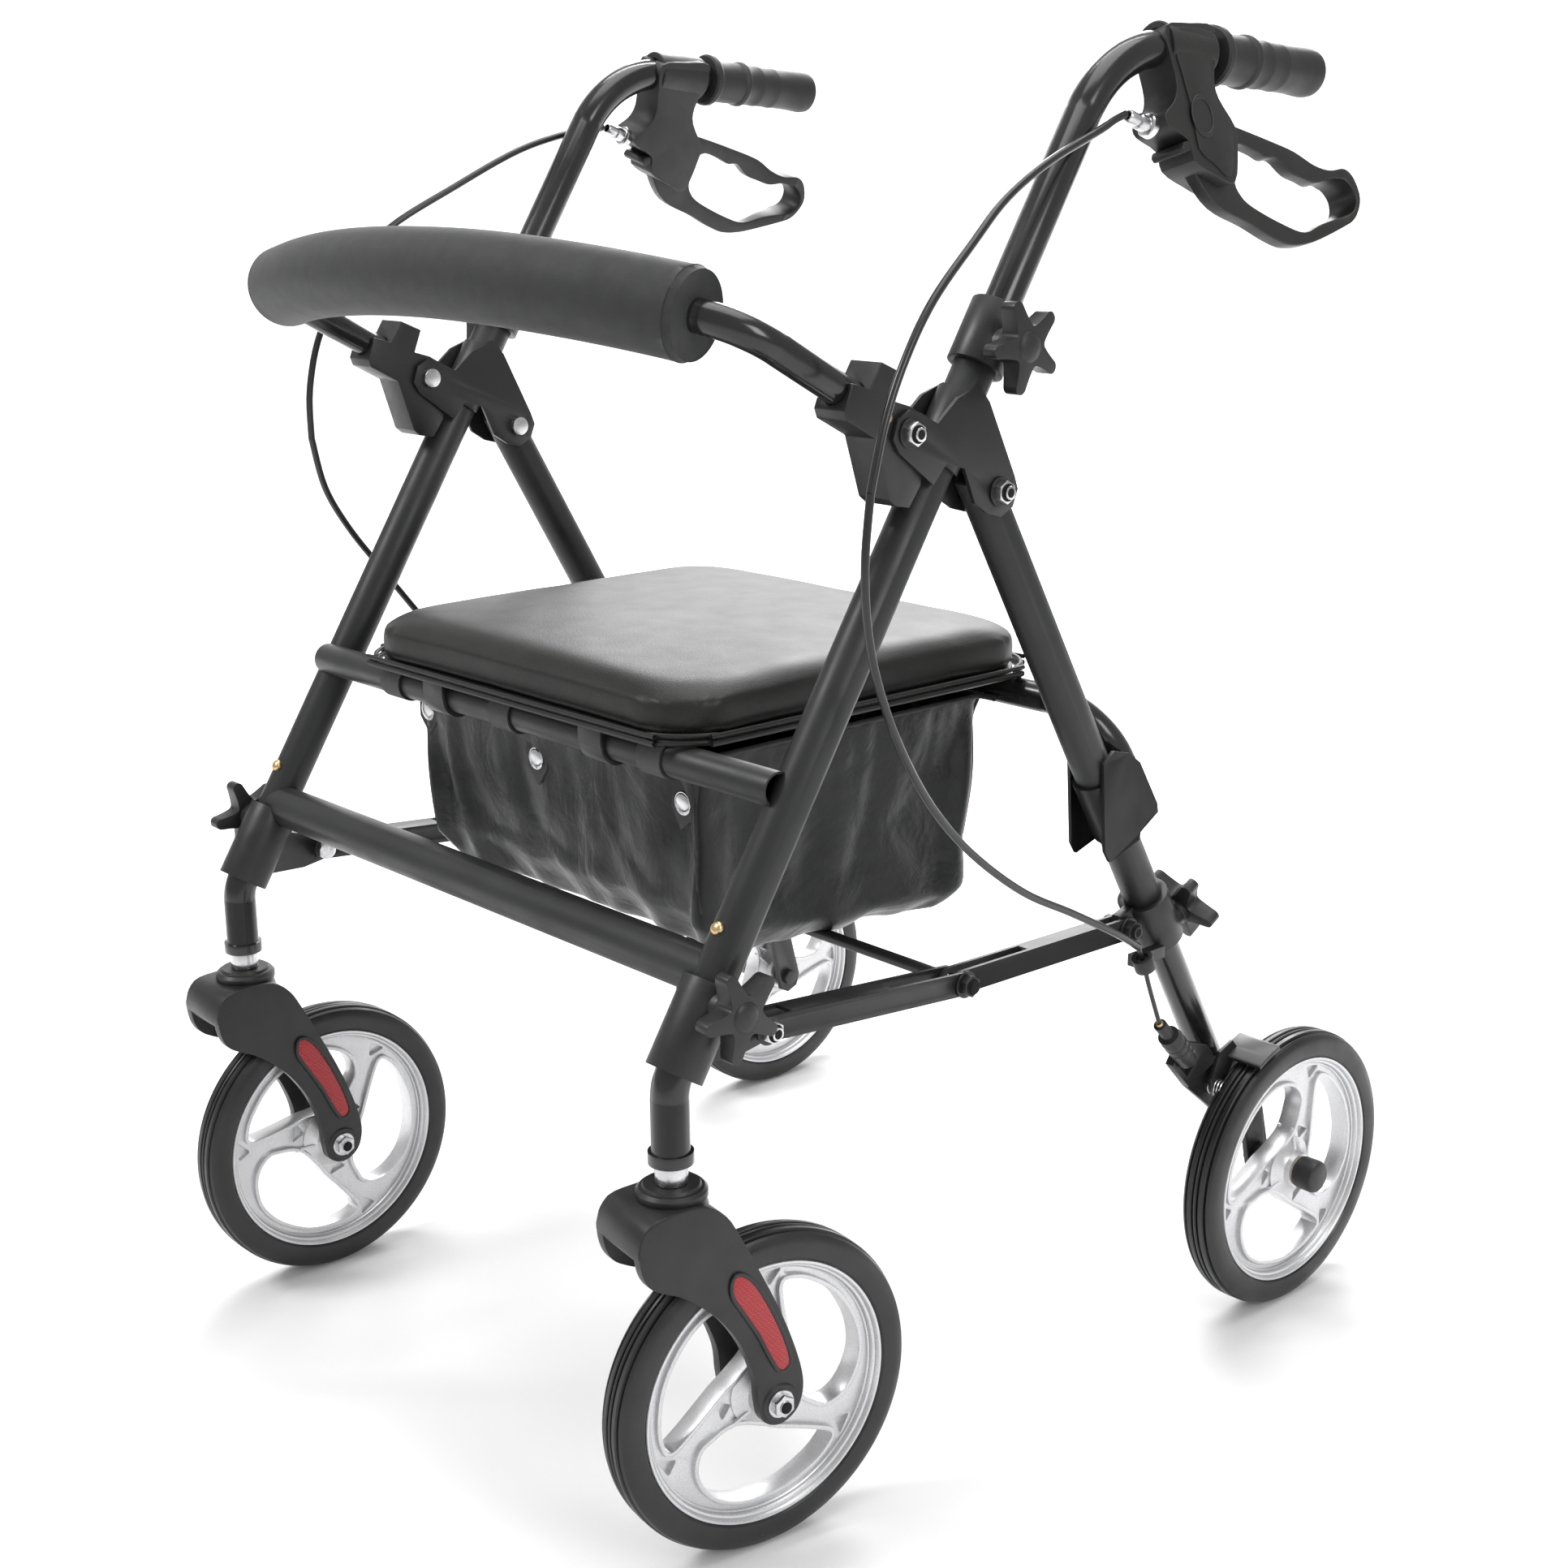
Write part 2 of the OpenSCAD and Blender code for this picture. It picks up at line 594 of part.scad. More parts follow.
// ---------------------------------------------------------------- front stems and casters
stem_in = 100;        // straight length of stem above its bend
spindle_r = 6;
spindle_in = 30;      // and of spindle inside it
module front_stem(s) {
    straight = stem_bend_z - stem_bend_r * tan(front_lean / 2) - stem_foot_z;
    color(black) sided(s) translate([half_track, caster_y, stem_foot_z]) difference() {
        union() {
            cylinder(r = stem_r, h = straight + bend_lap);
            cylinder(r = stem_r + 2, h = 7);
            translate([0, 0, straight]) {
                arc_bar(stem_bend_r, front_lean, stem_r);
                after_arc(stem_bend_r, front_lean) translate([0, 0, -bend_lap]) cylinder(r = stem_r, h = stem_in);
            }
        }
        translate([0, 0, -1]) cylinder(r = spindle_r + pin_fit, h = spindle_in + 1);
    }
}

function swivel(s) = s > 0 ? -left_swivel : right_swivel;
module on_caster(s) { translate([half_track, caster_y, 0]) rotate([0, 0, swivel(s)]) children(); }
fork_in = 17;
fork_t = 7;
module fork_arm_outline() {
    polygon([[-20, 226], [20, 226], [32, 208], [45, 180], [60, 148], [69, 118], [70, 100], [66, 90], [54.8, 86],
        [44, 91], [41, 102], [38, 122], [24, 152], [4, 178], [-14, 192], [-26, 200]]);
}
module caster_fork(s) {
    color(black) sided(s) on_caster(s) difference() {
        union() {
            for (x0 = [fork_in, -fork_in - fork_t]) x_plate(x0, fork_t) fork_arm_outline();
            x_plate(-fork_in - 1, 2 * fork_in + 2)
                polygon([[-40, 222], [-30, 234], [20, 232], [34, 206], [28, 204], [8, 202], [-20, 199], [-36, 204]]);
            cylinder(r = 20.5, h = caster_top_z);
        }
        translate([0, 0, -1]) cylinder(r = 60, h = 201);
        translate([0, 0, 150]) cylinder(r = spindle_r + seat_fit, h = 120);
        translate([0, trail, 0]) x_rod(-fork_in, fork_in, 0, axle_z, wheel_r + 4);
        x_rod(-40, 40, trail, axle_z, bolt_r + seat_fit);
    }
    color(black) sided(s) on_caster(s) for (x0 = [fork_in, -fork_in - fork_t]) difference() {
        x_plate(x0, fork_t) intersection() {
            fork_arm_outline();
            translate([-100, 0]) square([300, 200]);
        }
        x_rod(-40, 40, trail, axle_z, bolt_r + seat_fit);
    }
}
axle_half = fork_in + fork_t;
module caster_steel(s) {
    color(steel) sided(s) on_caster(s) {
        translate([0, 0, 212]) cylinder(r = spindle_r, h = stem_foot_z - 212 + spindle_in - 2);
        translate([0, 0, caster_top_z + 0.05]) difference() {
            cylinder(r = 9.5, h = stem_foot_z - caster_top_z - 0.4);
            translate([0, 0, -1]) cylinder(r = spindle_r + touch, h = 20);
        }
        x_rod(-axle_half - 7, axle_half + 7, trail, axle_z, bolt_r);
        for (x0 = [axle_half + touch, -axle_half - touch - 6]) translate([x0, trail, axle_z]) rotate([0, 90, 0])
            cylinder(r = 7, h = 6, $fn = 6);
    }
}

// ---------------------------------------------------------------- wheels, about the X axis at the origin
hub_r = 15;
hub_w = 31;
rim_r = wheel_r * rim_share;
module tyre() {
    color(black) rotate([0, 90, 0]) rotate_extrude($fn = 96)
        polygon([[rim_r + seat_fit, -tyre_w / 2 + 2], [wheel_r - 8, -tyre_w / 2], [wheel_r - 2.5, -tyre_w / 2 + 4.5],
            [wheel_r, -4], [wheel_r, 4], [wheel_r - 2.5, tyre_w / 2 - 4.5], [wheel_r - 8, tyre_w / 2],
            [rim_r + seat_fit, tyre_w / 2 - 2]]);
}
// one window of the rim, as angles round the axle and shares of the wheel's radius
window = [[-28, 0.49], [-27, 0.35], [-19, 0.265], [-2, 0.225], [30, 0.24], [58, 0.35], [69, 0.47], [76, 0.6],
    [77, 0.66], [66, 0.69], [45, 0.695], [25, 0.695], [8, 0.69], [-5, 0.66], [-15, 0.62], [-22, 0.565]];
module rim(turn, bore) {
    color(steel) rotate([turn, 0, 0]) rotate([0, 90, 0]) difference() {
        union() {
            rotate_extrude($fn = 96) translate([rim_r - 9, -11]) square([9, 22]);
            translate([0, 0, -4.5]) cylinder(r = rim_r - 4, h = 9, $fn = 96);
            translate([0, 0, -hub_w / 2]) cylinder(r = hub_r, h = hub_w);
        }
        for (i = [0:2]) rotate([0, 0, 120 * i]) translate([0, 0, -20]) linear_extrude(40)
            polygon([for (p = window) wheel_r * p[1] * [cos(p[0]), sin(p[0])]]);
        translate([0, 0, -40]) cylinder(r = bore, h = 80);
    }
}
module at_front_wheel(s) { sided(s) on_caster(s) translate([0, trail, axle_z]) children(); }
module at_rear_wheel(s) { sided(s) translate([rear_wheel_x, rear_axle_y, axle_z]) children(); }
rear_axle_r = 6;

module front_tyre(s) { at_front_wheel(s) tyre(); }
module front_rim(s) { at_front_wheel(s) sided(s) rim(90, bolt_r + pin_fit); }
module rear_tyre(s) { at_rear_wheel(s) tyre(); }
module rear_rim(s) { at_rear_wheel(s) sided(s) rim(77, rear_axle_r + pin_fit); }

// ---------------------------------------------------------------- rear stems and brakes
rear_stem_top = 420;
rear_stem_foot = 185;
module rear_stem(s) {
    color(black) sided(s) on_rear(rear_stem_foot)
        pipe((rear_stem_top - rear_stem_foot) / cos(rear_lean), stem_r, stem_r - tube_wall);
}
arm_x = half_track + stem_r + seat_fit;
arm_t = 4;
module wheel_bracket(s) {
    color(black) sided(s) {
        difference() {
            union() {
                x_plate(arm_x, arm_t) polygon([[150, 178], [183, 150], [206, 162], [214, 150], [224, 106], [228, 90],
                    [236, 86], [246, 90], [249, 100], [246, 112], [236, 150], [228, 186], [205, 190], [180, 190]]);
                x_plate(arm_x + arm_t, 5) translate([shoe_y, shoe_z]) circle(r = 6);
            }
            x_rod(arm_x - 5, arm_x + 15, shoe_y, shoe_z, shoe_pin_r + touch);
            x_rod(arm_x - 5, arm_x + 15, rear_axle_y, axle_z, rear_axle_r + seat_fit);
        }
        x_rod(arm_x - 4, rear_wheel_x + hub_w / 2 + 11, rear_axle_y, axle_z, rear_axle_r);
        difference() {
            x_rod(rear_wheel_x + hub_w / 2 + 0.5, rear_wheel_x + hub_w / 2 + 10, rear_axle_y, axle_z, 11);
            x_rod(rear_wheel_x, rear_wheel_x + 50, rear_axle_y, axle_z, rear_axle_r + touch);
        }
        difference() {
            x_rod(arm_x + arm_t + touch, rear_wheel_x - hub_w / 2 - 0.5, rear_axle_y, axle_z, 9);
            x_rod(arm_x, rear_wheel_x + 50, rear_axle_y, axle_z, rear_axle_r + touch);
        }
        x_rod(arm_x, rear_wheel_x - tyre_w / 2 - 0.7, shoe_y, shoe_z, shoe_pin_r);
        // crimp and boot that the cable ends in, and the tab that holds them
        at_boot() {
            translate([0, 0, -46]) cylinder(r = boot_r, h = 32);
            translate([0, 0, -14]) cylinder(r = 4.5, h = 14 - touch);
        }
        difference() {
            x_plate(arm_x, 6.5) polygon([[150, 178 + touch], [180, 190 + touch], [168, 204], [142, 214], [131, 199]]);
            at_boot() translate([0, 0, -60]) cylinder(r = boot_r + seat_fit, h = 70);
        }
    }
}
boot_r = 7.5;
module at_boot() { translate(cable_end) rotate([43, 0, 0]) children(); }
shoe_y = 176;
shoe_z = 172;
shoe_gap = 3;         // from the brake shoe to the tyre
shoe_t = 2.5;
shoe_x = arm_x + arm_t + 0.5;
shoe_pin_r = 3;
module brake_shoe(s) {
    color(black) sided(s) difference() {
        union() {
            x_plate(arm_x + arm_t + 5.2, shoe_t) polygon([[170, 170], [176, 165], [183, 172], [196, 196], [190, 203],
                [176, 198], [168, 180]]);
            translate([rear_wheel_x, rear_axle_y, axle_z]) difference() {
                intersection() {
                    rotate([0, 90, 0]) difference() {
                        translate([0, 0, shoe_x - rear_wheel_x])
                            cylinder(r = wheel_r + shoe_gap + 3, h = rear_wheel_x + tyre_w / 2 - shoe_x, $fn = 96);
                        translate([0, 0, -30]) cylinder(r = wheel_r + shoe_gap, h = 60, $fn = 96);
                    }
                    x_plate(-40, 80) polygon([[0, 0], [-66, 120], [-34, 120]]);
                }
            }
        }
        x_rod(arm_x, arm_x + 60, shoe_y, shoe_z, shoe_pin_r + pin_fit);
    }
}

// ---------------------------------------------------------------- star knobs
module star_knob() {
    translate([0, 0, knob_foot]) {
        cylinder(r = 13, h = knob_h + 1.5);
        for (i = [0:4]) rotate([0, 0, 72 * i + 18]) {
            translate([20.5, 0, 0]) cylinder(r = 6.8, h = knob_h);
            translate([8, -6, 0]) cube([12.5, 12, knob_h]);
        }
    }
    translate([0, 0, stem_r + 0.4]) cylinder(r = knob_screw_r, h = knob_foot - stem_r);
}
knob_h = 12;
knob_foot = leg_r + collar_t + 5.3;
module upper_knob(s) { color(black) sided(s) on_front(upper_knob_z) rotate([0, 90, 0]) star_knob(); }
module front_knob(s) { color(black) sided(s) on_front(front_knob_z) rotate([0, 90, 0]) star_knob(); }
module rear_knob(s) { color(black) sided(s) on_rear(rear_knob_z) rotate([-90, 0, 0]) star_knob(); }

// ---------------------------------------------------------------- bag
bag_top_z = seat_bar_z - 4;
bag_front_y = seat_bar_y + seat_bar_d / 2 + 4;
bag_rear_y = 52;
// outline in Y and Z, drawn in by d all round but at the open top
module bag_outline(d) {
    polygon([[bag_front_y + d, bag_top_z + d], [bag_front_y + d, bag_floor_z + 26 + d / 2],
        [bag_front_y + 46, bag_floor_z + 6 + d], [bag_front_y + 160, bag_floor_z - 6 + d],
        [bag_rear_y - 4, bag_floor_z - 10 + d], [bag_rear_y + 8 - d, bag_floor_z], [bag_rear_y - d, bag_top_z + d]]);
}
module bag() {
    color(dark) difference() {
        x_plate(-bag_w / 2, bag_w) bag_outline(0);
        x_plate(-bag_w / 2 + bag_wall, bag_w - 2 * bag_wall) bag_outline(bag_wall);
    }
}

// ---------------------------------------------------------------- brake cables
cable_d = 5;
cable_end = [258, 112, 235];
cable_stop = [258, 111.5, 236];
guide = [259, 91.5, 284];
guide_lean = 26;     // the ring stands square to the cable
guide_r = 4;
// from the barrel on the handle down to the guide ring and the barrel on the wheel bracket
barrel_end = [248.9, 58, 815.4];
left_route = [
    barrel_end, [253.5, 30, 806], [259, -19, 789], [266, -61, 770], [273, -95, 747], [279, -131, 719],
    [283, -155, 691], [285, -172, 660], [286, -184, 622], [286, -188, 585], [285, -185, 550], [284, -176, 517],
    [282, -157, 478], [278, -128, 438], [274, -90, 401], [270, -40, 365], [266, 10, 339], [263, 58, 313],
    [260, 84, 297], [259, 91.5, 284], [258, 99, 266], cable_stop];
right_route = [
    barrel_end, [254, 30, 811], [259.5, -12, 799], [266, -65, 774], [274, -117, 746], [281, -147, 715],
    [287, -169, 676], [291, -178, 637], [293, -178, 602], [294, -169, 566], [293, -152, 535], [290, -128, 502],
    [286, -98, 462], [280, -66, 420], [273, -30, 378], [267, 12, 343], [263, 58, 313],
    [260, 84, 297], [259, 91.5, 284], [258, 99, 266], cable_stop];
ring_sides = 8;
ring_step = 13;

// points spread along the route on a smooth curve through its points
function at_route(p, i, t) =
    let (n = len(p), a = p[max(i - 1, 0)], b = p[i], c = p[min(i + 1, n - 1)], d = p[min(i + 2, n - 1)])
    0.5 * (2 * b + (c - a) * t + (2 * a - 5 * b + 4 * c - d) * t * t + (3 * b - a - 3 * c + d) * t * t * t);
function steps(p, i) = max(1, round(norm(p[i + 1] - p[i]) / ring_step));
function smooth_route(p) = concat(
    [for (i = [0:len(p) - 2]) for (k = [0:steps(p, i) - 1]) at_route(p, i, k / steps(p, i))], [p[len(p) - 1]]);
function unit(v) = v / norm(v);
// the rings stand square to the route, with one side always facing X
function ring(p, i, r) =
    let (n = len(p), dir = unit(p[min(i + 1, n - 1)] - p[max(i - 1, 0)]), u = unit(cross(dir, [1, 0, 0])), v = cross(dir, u))
    [for (k = [0:ring_sides - 1]) p[i] + r * (cos(360 * k / ring_sides) * u + sin(360 * k / ring_sides) * v)];
module swept(p, r) {
    n = len(p);
    rings = [for (i = [0:n - 1]) each ring(p, i, r)];
    sides = [for (i = [0:n - 2]) for (k = [0:ring_sides - 1])
        let (a = i * ring_sides + k, b = i * ring_sides + (k + 1) % ring_sides) [a, b, b + ring_sides, a + ring_sides]];
    first = [for (k = [ring_sides - 1:-1:0]) k];
    last = [for (k = [0:ring_sides - 1]) (n - 1) * ring_sides + k];
    polyhedron(points = rings, faces = concat(sides, [first, last]), convexity = 4);
}
module brake_cable(s) {
    color(black) sided(s) swept(smooth_route(s > 0 ? left_route : right_route), cable_d / 2);
}

// ---------------------------------------------------------------- drawing
front_leg(1);  // left_front_leg
front_leg(-1);  // right_front_leg
lower_crossbar();
seat_crossbar();
hinge_brackets();
frame_fasteners();
upper_collars();
lower_collars();
rear_leg(1);  // left_rear_leg
rear_leg(-1);  // right_rear_leg
rear_seat_tube();
seat_tube_brackets();
rear_collars();
front_links();
cross_rod();
rear_links();
seat_cushion();
seat_board();
seat_clips();
backrest_tube();
backrest_foam();
backrest_sockets();
handle_tube(1);  // left_handle_tube
handle_tube(-1);  // right_handle_tube
grip(1);  // left_grip
grip(-1);  // right_grip
brake_housing(1);  // left_brake_housing
brake_housing(-1);  // right_brake_housing
brake_lever(1);  // left_brake_lever
brake_lever(-1);  // right_brake_lever
front_stem(1);  // left_front_stem
front_stem(-1);  // right_front_stem
caster_fork(1);  // left_caster_fork
caster_fork(-1);  // right_caster_fork
caster_steel(1);  // left_caster_steel
caster_steel(-1);  // right_caster_steel
front_tyre(1);  // left_front_tyre
front_tyre(-1);  // right_front_tyre
front_rim(1);  // left_front_rim
front_rim(-1);  // right_front_rim
rear_stem(1);  // left_rear_stem
rear_stem(-1);  // right_rear_stem
wheel_bracket(1);  // left_wheel_bracket
wheel_bracket(-1);  // right_wheel_bracket
brake_shoe(1);  // left_brake_shoe
brake_shoe(-1);  // right_brake_shoe
rear_tyre(1);  // left_rear_tyre
rear_tyre(-1);  // right_rear_tyre
rear_rim(1);  // left_rear_rim
rear_rim(-1);  // right_rear_rim
upper_knob(1);  // left_upper_knob
upper_knob(-1);  // right_upper_knob
front_knob(1);  // left_front_knob
front_knob(-1);  // right_front_knob
rear_knob(1);  // left_rear_knob
rear_knob(-1);  // right_rear_knob
bag();
brake_cable(1);  // left_brake_cable
brake_cable(-1);  // right_brake_cable
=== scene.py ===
"""Looks of the folding rollator walker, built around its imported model. Sizes are in millimetres until a piece is placed."""
import math

import bmesh
import bpy
from mathutils import Matrix, Vector, noise
from mathutils.bvhtree import BVHTree


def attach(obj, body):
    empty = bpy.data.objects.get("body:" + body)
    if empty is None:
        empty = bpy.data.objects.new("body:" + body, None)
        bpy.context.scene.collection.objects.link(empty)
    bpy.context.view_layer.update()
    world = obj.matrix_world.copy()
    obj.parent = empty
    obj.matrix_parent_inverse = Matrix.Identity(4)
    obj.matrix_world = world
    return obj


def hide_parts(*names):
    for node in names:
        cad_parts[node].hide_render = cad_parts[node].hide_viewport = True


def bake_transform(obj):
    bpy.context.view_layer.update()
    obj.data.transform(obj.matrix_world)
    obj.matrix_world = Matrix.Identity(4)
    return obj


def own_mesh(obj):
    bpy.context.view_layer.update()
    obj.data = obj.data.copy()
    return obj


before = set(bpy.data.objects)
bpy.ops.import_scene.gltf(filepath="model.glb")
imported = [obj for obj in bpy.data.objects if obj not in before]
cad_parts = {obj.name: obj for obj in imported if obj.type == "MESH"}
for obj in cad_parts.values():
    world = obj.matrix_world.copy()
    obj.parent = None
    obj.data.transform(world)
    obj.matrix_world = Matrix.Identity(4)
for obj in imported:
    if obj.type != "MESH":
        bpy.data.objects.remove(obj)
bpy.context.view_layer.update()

MM = 0.001
SIDES = (("left", 1), ("right", -1))
rad = math.radians

# ------------------------------------------------------------ the walker's own sizes, as its model has them
HALF_TRACK = 238.0
FRONT_LEAN, REAR_LEAN = 32.25, 29.6
FOLD_Y, FOLD_Z = -48.5, 606.0
LEG_GAP = 42.8
LEG_R = 12.7
GRIP_Y, GRIP_Z, GRIP_FALL = 146.0, 850.0, 4.6
LEVER_TILT = 16.0
AXLE_Z, TRAIL = 100.0, 54.8
SWIVEL = {"left": -8.1, "right": 0.7}
REAR_WHEEL_X, REAR_AXLE_Y = 274.4, 236.1
SEAT_MID_Y, SEAT_Z, SEAT_W, SEAT_L, SEAT_R = -70.0, 466.0, 352.0, 317.0, 45.0
SEAT_BAR_Y, SEAT_BAR_Z, SEAT_BAR_R = -208.38, 455.0, 10.5
REST_Y, REST_Z, REST_RISE = -122.0, 649.0, 29.0


def front_y(z):
    return FOLD_Y - LEG_GAP / math.cos(rad(FRONT_LEAN)) + (z - FOLD_Z) * math.tan(rad(FRONT_LEAN))


def rear_y(z):
    return FOLD_Y + (FOLD_Z - z) * math.tan(rad(REAR_LEAN))


CASTER_Y = front_y(303)


def shift(x, y, z):
    return Matrix.Translation((x, y, z))


def turn(degrees, axis):
    return Matrix.Rotation(rad(degrees), 4, axis)


def on_front(z):
    return shift(HALF_TRACK, front_y(z), z) @ turn(-FRONT_LEAN, "X")


def on_rear(z):
    return shift(HALF_TRACK, rear_y(z), z) @ turn(REAR_LEAN, "X")


TUBE_Z = GRIP_Z + (GRIP_Y - 130) * math.tan(rad(GRIP_FALL))
BRAKE_PLANE = shift(HALF_TRACK, 0, TUBE_Z) @ turn(-LEVER_TILT, "Y") @ shift(-HALF_TRACK, 0, -TUBE_Z)
ON_GRIP = shift(HALF_TRACK, GRIP_Y, GRIP_Z) @ turn(-90 - GRIP_FALL, "X")
REST_PLANE = shift(0, REST_Y, REST_Z) @ turn(-REST_RISE, "X") @ turn(180, "Z")
ALONG_X = turn(90, "Y")
LAY = Matrix(((0, 0, 1, 0), (1, 0, 0, 0), (0, 1, 0, 0), (0, 0, 0, 1)))


# ------------------------------------------------------------ finishes
def node_of(tree, kind, **inputs):
    made = tree.nodes.new(kind)
    for key, value in inputs.items():
        if key in made.inputs:
            made.inputs[key].default_value = value
        else:
            setattr(made, key, value)
    return made


class Finish:
    """A material under way: its Principled shader, and the textures that drive it on Object coordinates."""

    def __init__(self, name, colour, rough, metallic=0.0, coat=0.0, sheen=0.0, ior=1.5, specular=0.5):
        self.mat = bpy.data.materials.new(name)
        self.mat.use_nodes = True
        self.tree = self.mat.node_tree
        self.shader = self.tree.nodes["Principled BSDF"]
        self.colour, self.rough = colour, rough
        put = self.shader.inputs
        put["Base Color"].default_value = (*colour, 1)
        put["Roughness"].default_value = rough
        put["Metallic"].default_value = metallic
        put["Coat Weight"].default_value = coat
        put["Coat Roughness"].default_value = 0.15
        put["Sheen Weight"].default_value = sheen
        put["Sheen Roughness"].default_value = 0.5
        put["IOR"].default_value = ior
        put["Specular IOR Level"].default_value = specular
        self.where = node_of(self.tree, "ShaderNodeTexCoord").outputs["Object"]
        self.bumped = None
        self.mat.diffuse_color = (*colour, 1)

    def join(self, a, b):
        self.tree.links.new(a, b)

    def noise(self, scale, detail=4.0, distortion=0.0, stretch=(1, 1, 1), where=None):
        source = where or self.where
        if stretch != (1, 1, 1):
            mapped = node_of(self.tree, "ShaderNodeMapping")
            mapped.inputs["Scale"].default_value = stretch
            self.join(source, mapped.inputs["Vector"])
            source = mapped.outputs[0]
        made = node_of(self.tree, "ShaderNodeTexNoise", Scale=scale, Detail=detail, Distortion=distortion)
        self.join(source, made.inputs["Vector"])
        return made.outputs["Fac"]

    def cells(self, scale, feature="F1", stretch=(1, 1, 1), random=1.0):
        mapped = node_of(self.tree, "ShaderNodeMapping")
        mapped.inputs["Scale"].default_value = stretch
        self.join(self.where, mapped.inputs["Vector"])
        made = node_of(self.tree, "ShaderNodeTexVoronoi", feature=feature, Scale=scale, Randomness=random)
        self.join(mapped.outputs[0], made.inputs["Vector"])
        return made.outputs["Distance"]

    def bands(self, scale, direction, profile="SIN", distortion=0.0):
        made = node_of(self.tree, "ShaderNodeTexWave", bands_direction=direction, wave_profile=profile,
                       Scale=scale, Distortion=distortion)
        self.join(self.where, made.inputs["Vector"])
        return made.outputs["Fac"]

    def spread(self, fac, low, high, to_low, to_high):
        made = node_of(self.tree, "ShaderNodeMapRange")
        for key, value in zip(("From Min", "From Max", "To Min", "To Max"), (low, high, to_low, to_high)):
            made.inputs[key].default_value = value
        self.join(fac, made.inputs["Value"])
        return made.outputs["Result"]

    def maths(self, operation, a, b):
        made = node_of(self.tree, "ShaderNodeMath", operation=operation)
        for socket, value in zip(made.inputs, (a, b)):
            if isinstance(value, (int, float)):
                socket.default_value = value
            else:
                self.join(value, socket)
        return made.outputs[0]

    def tones(self, fac, *stops):
        """Colours the surface by fac, from (place, colour) stops."""
        ramp = node_of(self.tree, "ShaderNodeValToRGB")
        band = ramp.color_ramp
        while len(band.elements) < len(stops):
            band.elements.new(0.5)
        for element, (place, colour) in zip(band.elements, stops):
            element.position = place
            element.color = (*colour, 1)
        self.join(fac, ramp.inputs["Fac"])
        self.join(ramp.outputs["Color"], self.shader.inputs["Base Color"])
        return self

    def roughened(self, fac, low, high, place=(0.3, 0.7)):
        self.join(self.spread(fac, *place, low, high), self.shader.inputs["Roughness"])
        return self

    def bump(self, height, strength, distance):
        made = node_of(self.tree, "ShaderNodeBump", Strength=strength, Distance=distance)
        self.join(height, made.inputs["Height"])
        if self.bumped:
            self.join(self.bumped, made.inputs["Normal"])
        self.bumped = made.outputs["Normal"]
        self.join(self.bumped, self.shader.inputs["Normal"])
        return self


def shade(colour, k):
    return tuple(min(1.0, c * k) for c in colour)


def coated(name, colour, rough, peel, speck=0.35, **more):
    """Paint: an orange-peel skin, a faint drift of tone and a few duller patches."""
    f = Finish(name, colour, rough, **more)
    f.tones(f.noise(9, 5), (0.35, shade(colour, 0.82)), (0.7, shade(colour, 1.2)))
    f.roughened(f.noise(26, 6), rough - 0.06, rough + 0.1)
    f.bump(f.noise(900, 2), speck, peel * MM)
    return f.mat


def moulded(name, colour, rough, grain=0.05, **more):
    """Moulded plastic: fine spark-eroded grain and slow flow marks."""
    f = Finish(name, colour, rough, **more)
    f.tones(f.noise(14, 6, 0.6), (0.3, shade(colour, 0.8)), (0.72, shade(colour, 1.25)))
    f.roughened(f.noise(60, 5), rough - 0.07, rough + 0.09)
    f.bump(f.noise(1500, 2), 0.35, grain * MM)
    f.bump(f.noise(38, 3), 0.12, 0.3 * MM)
    return f.mat


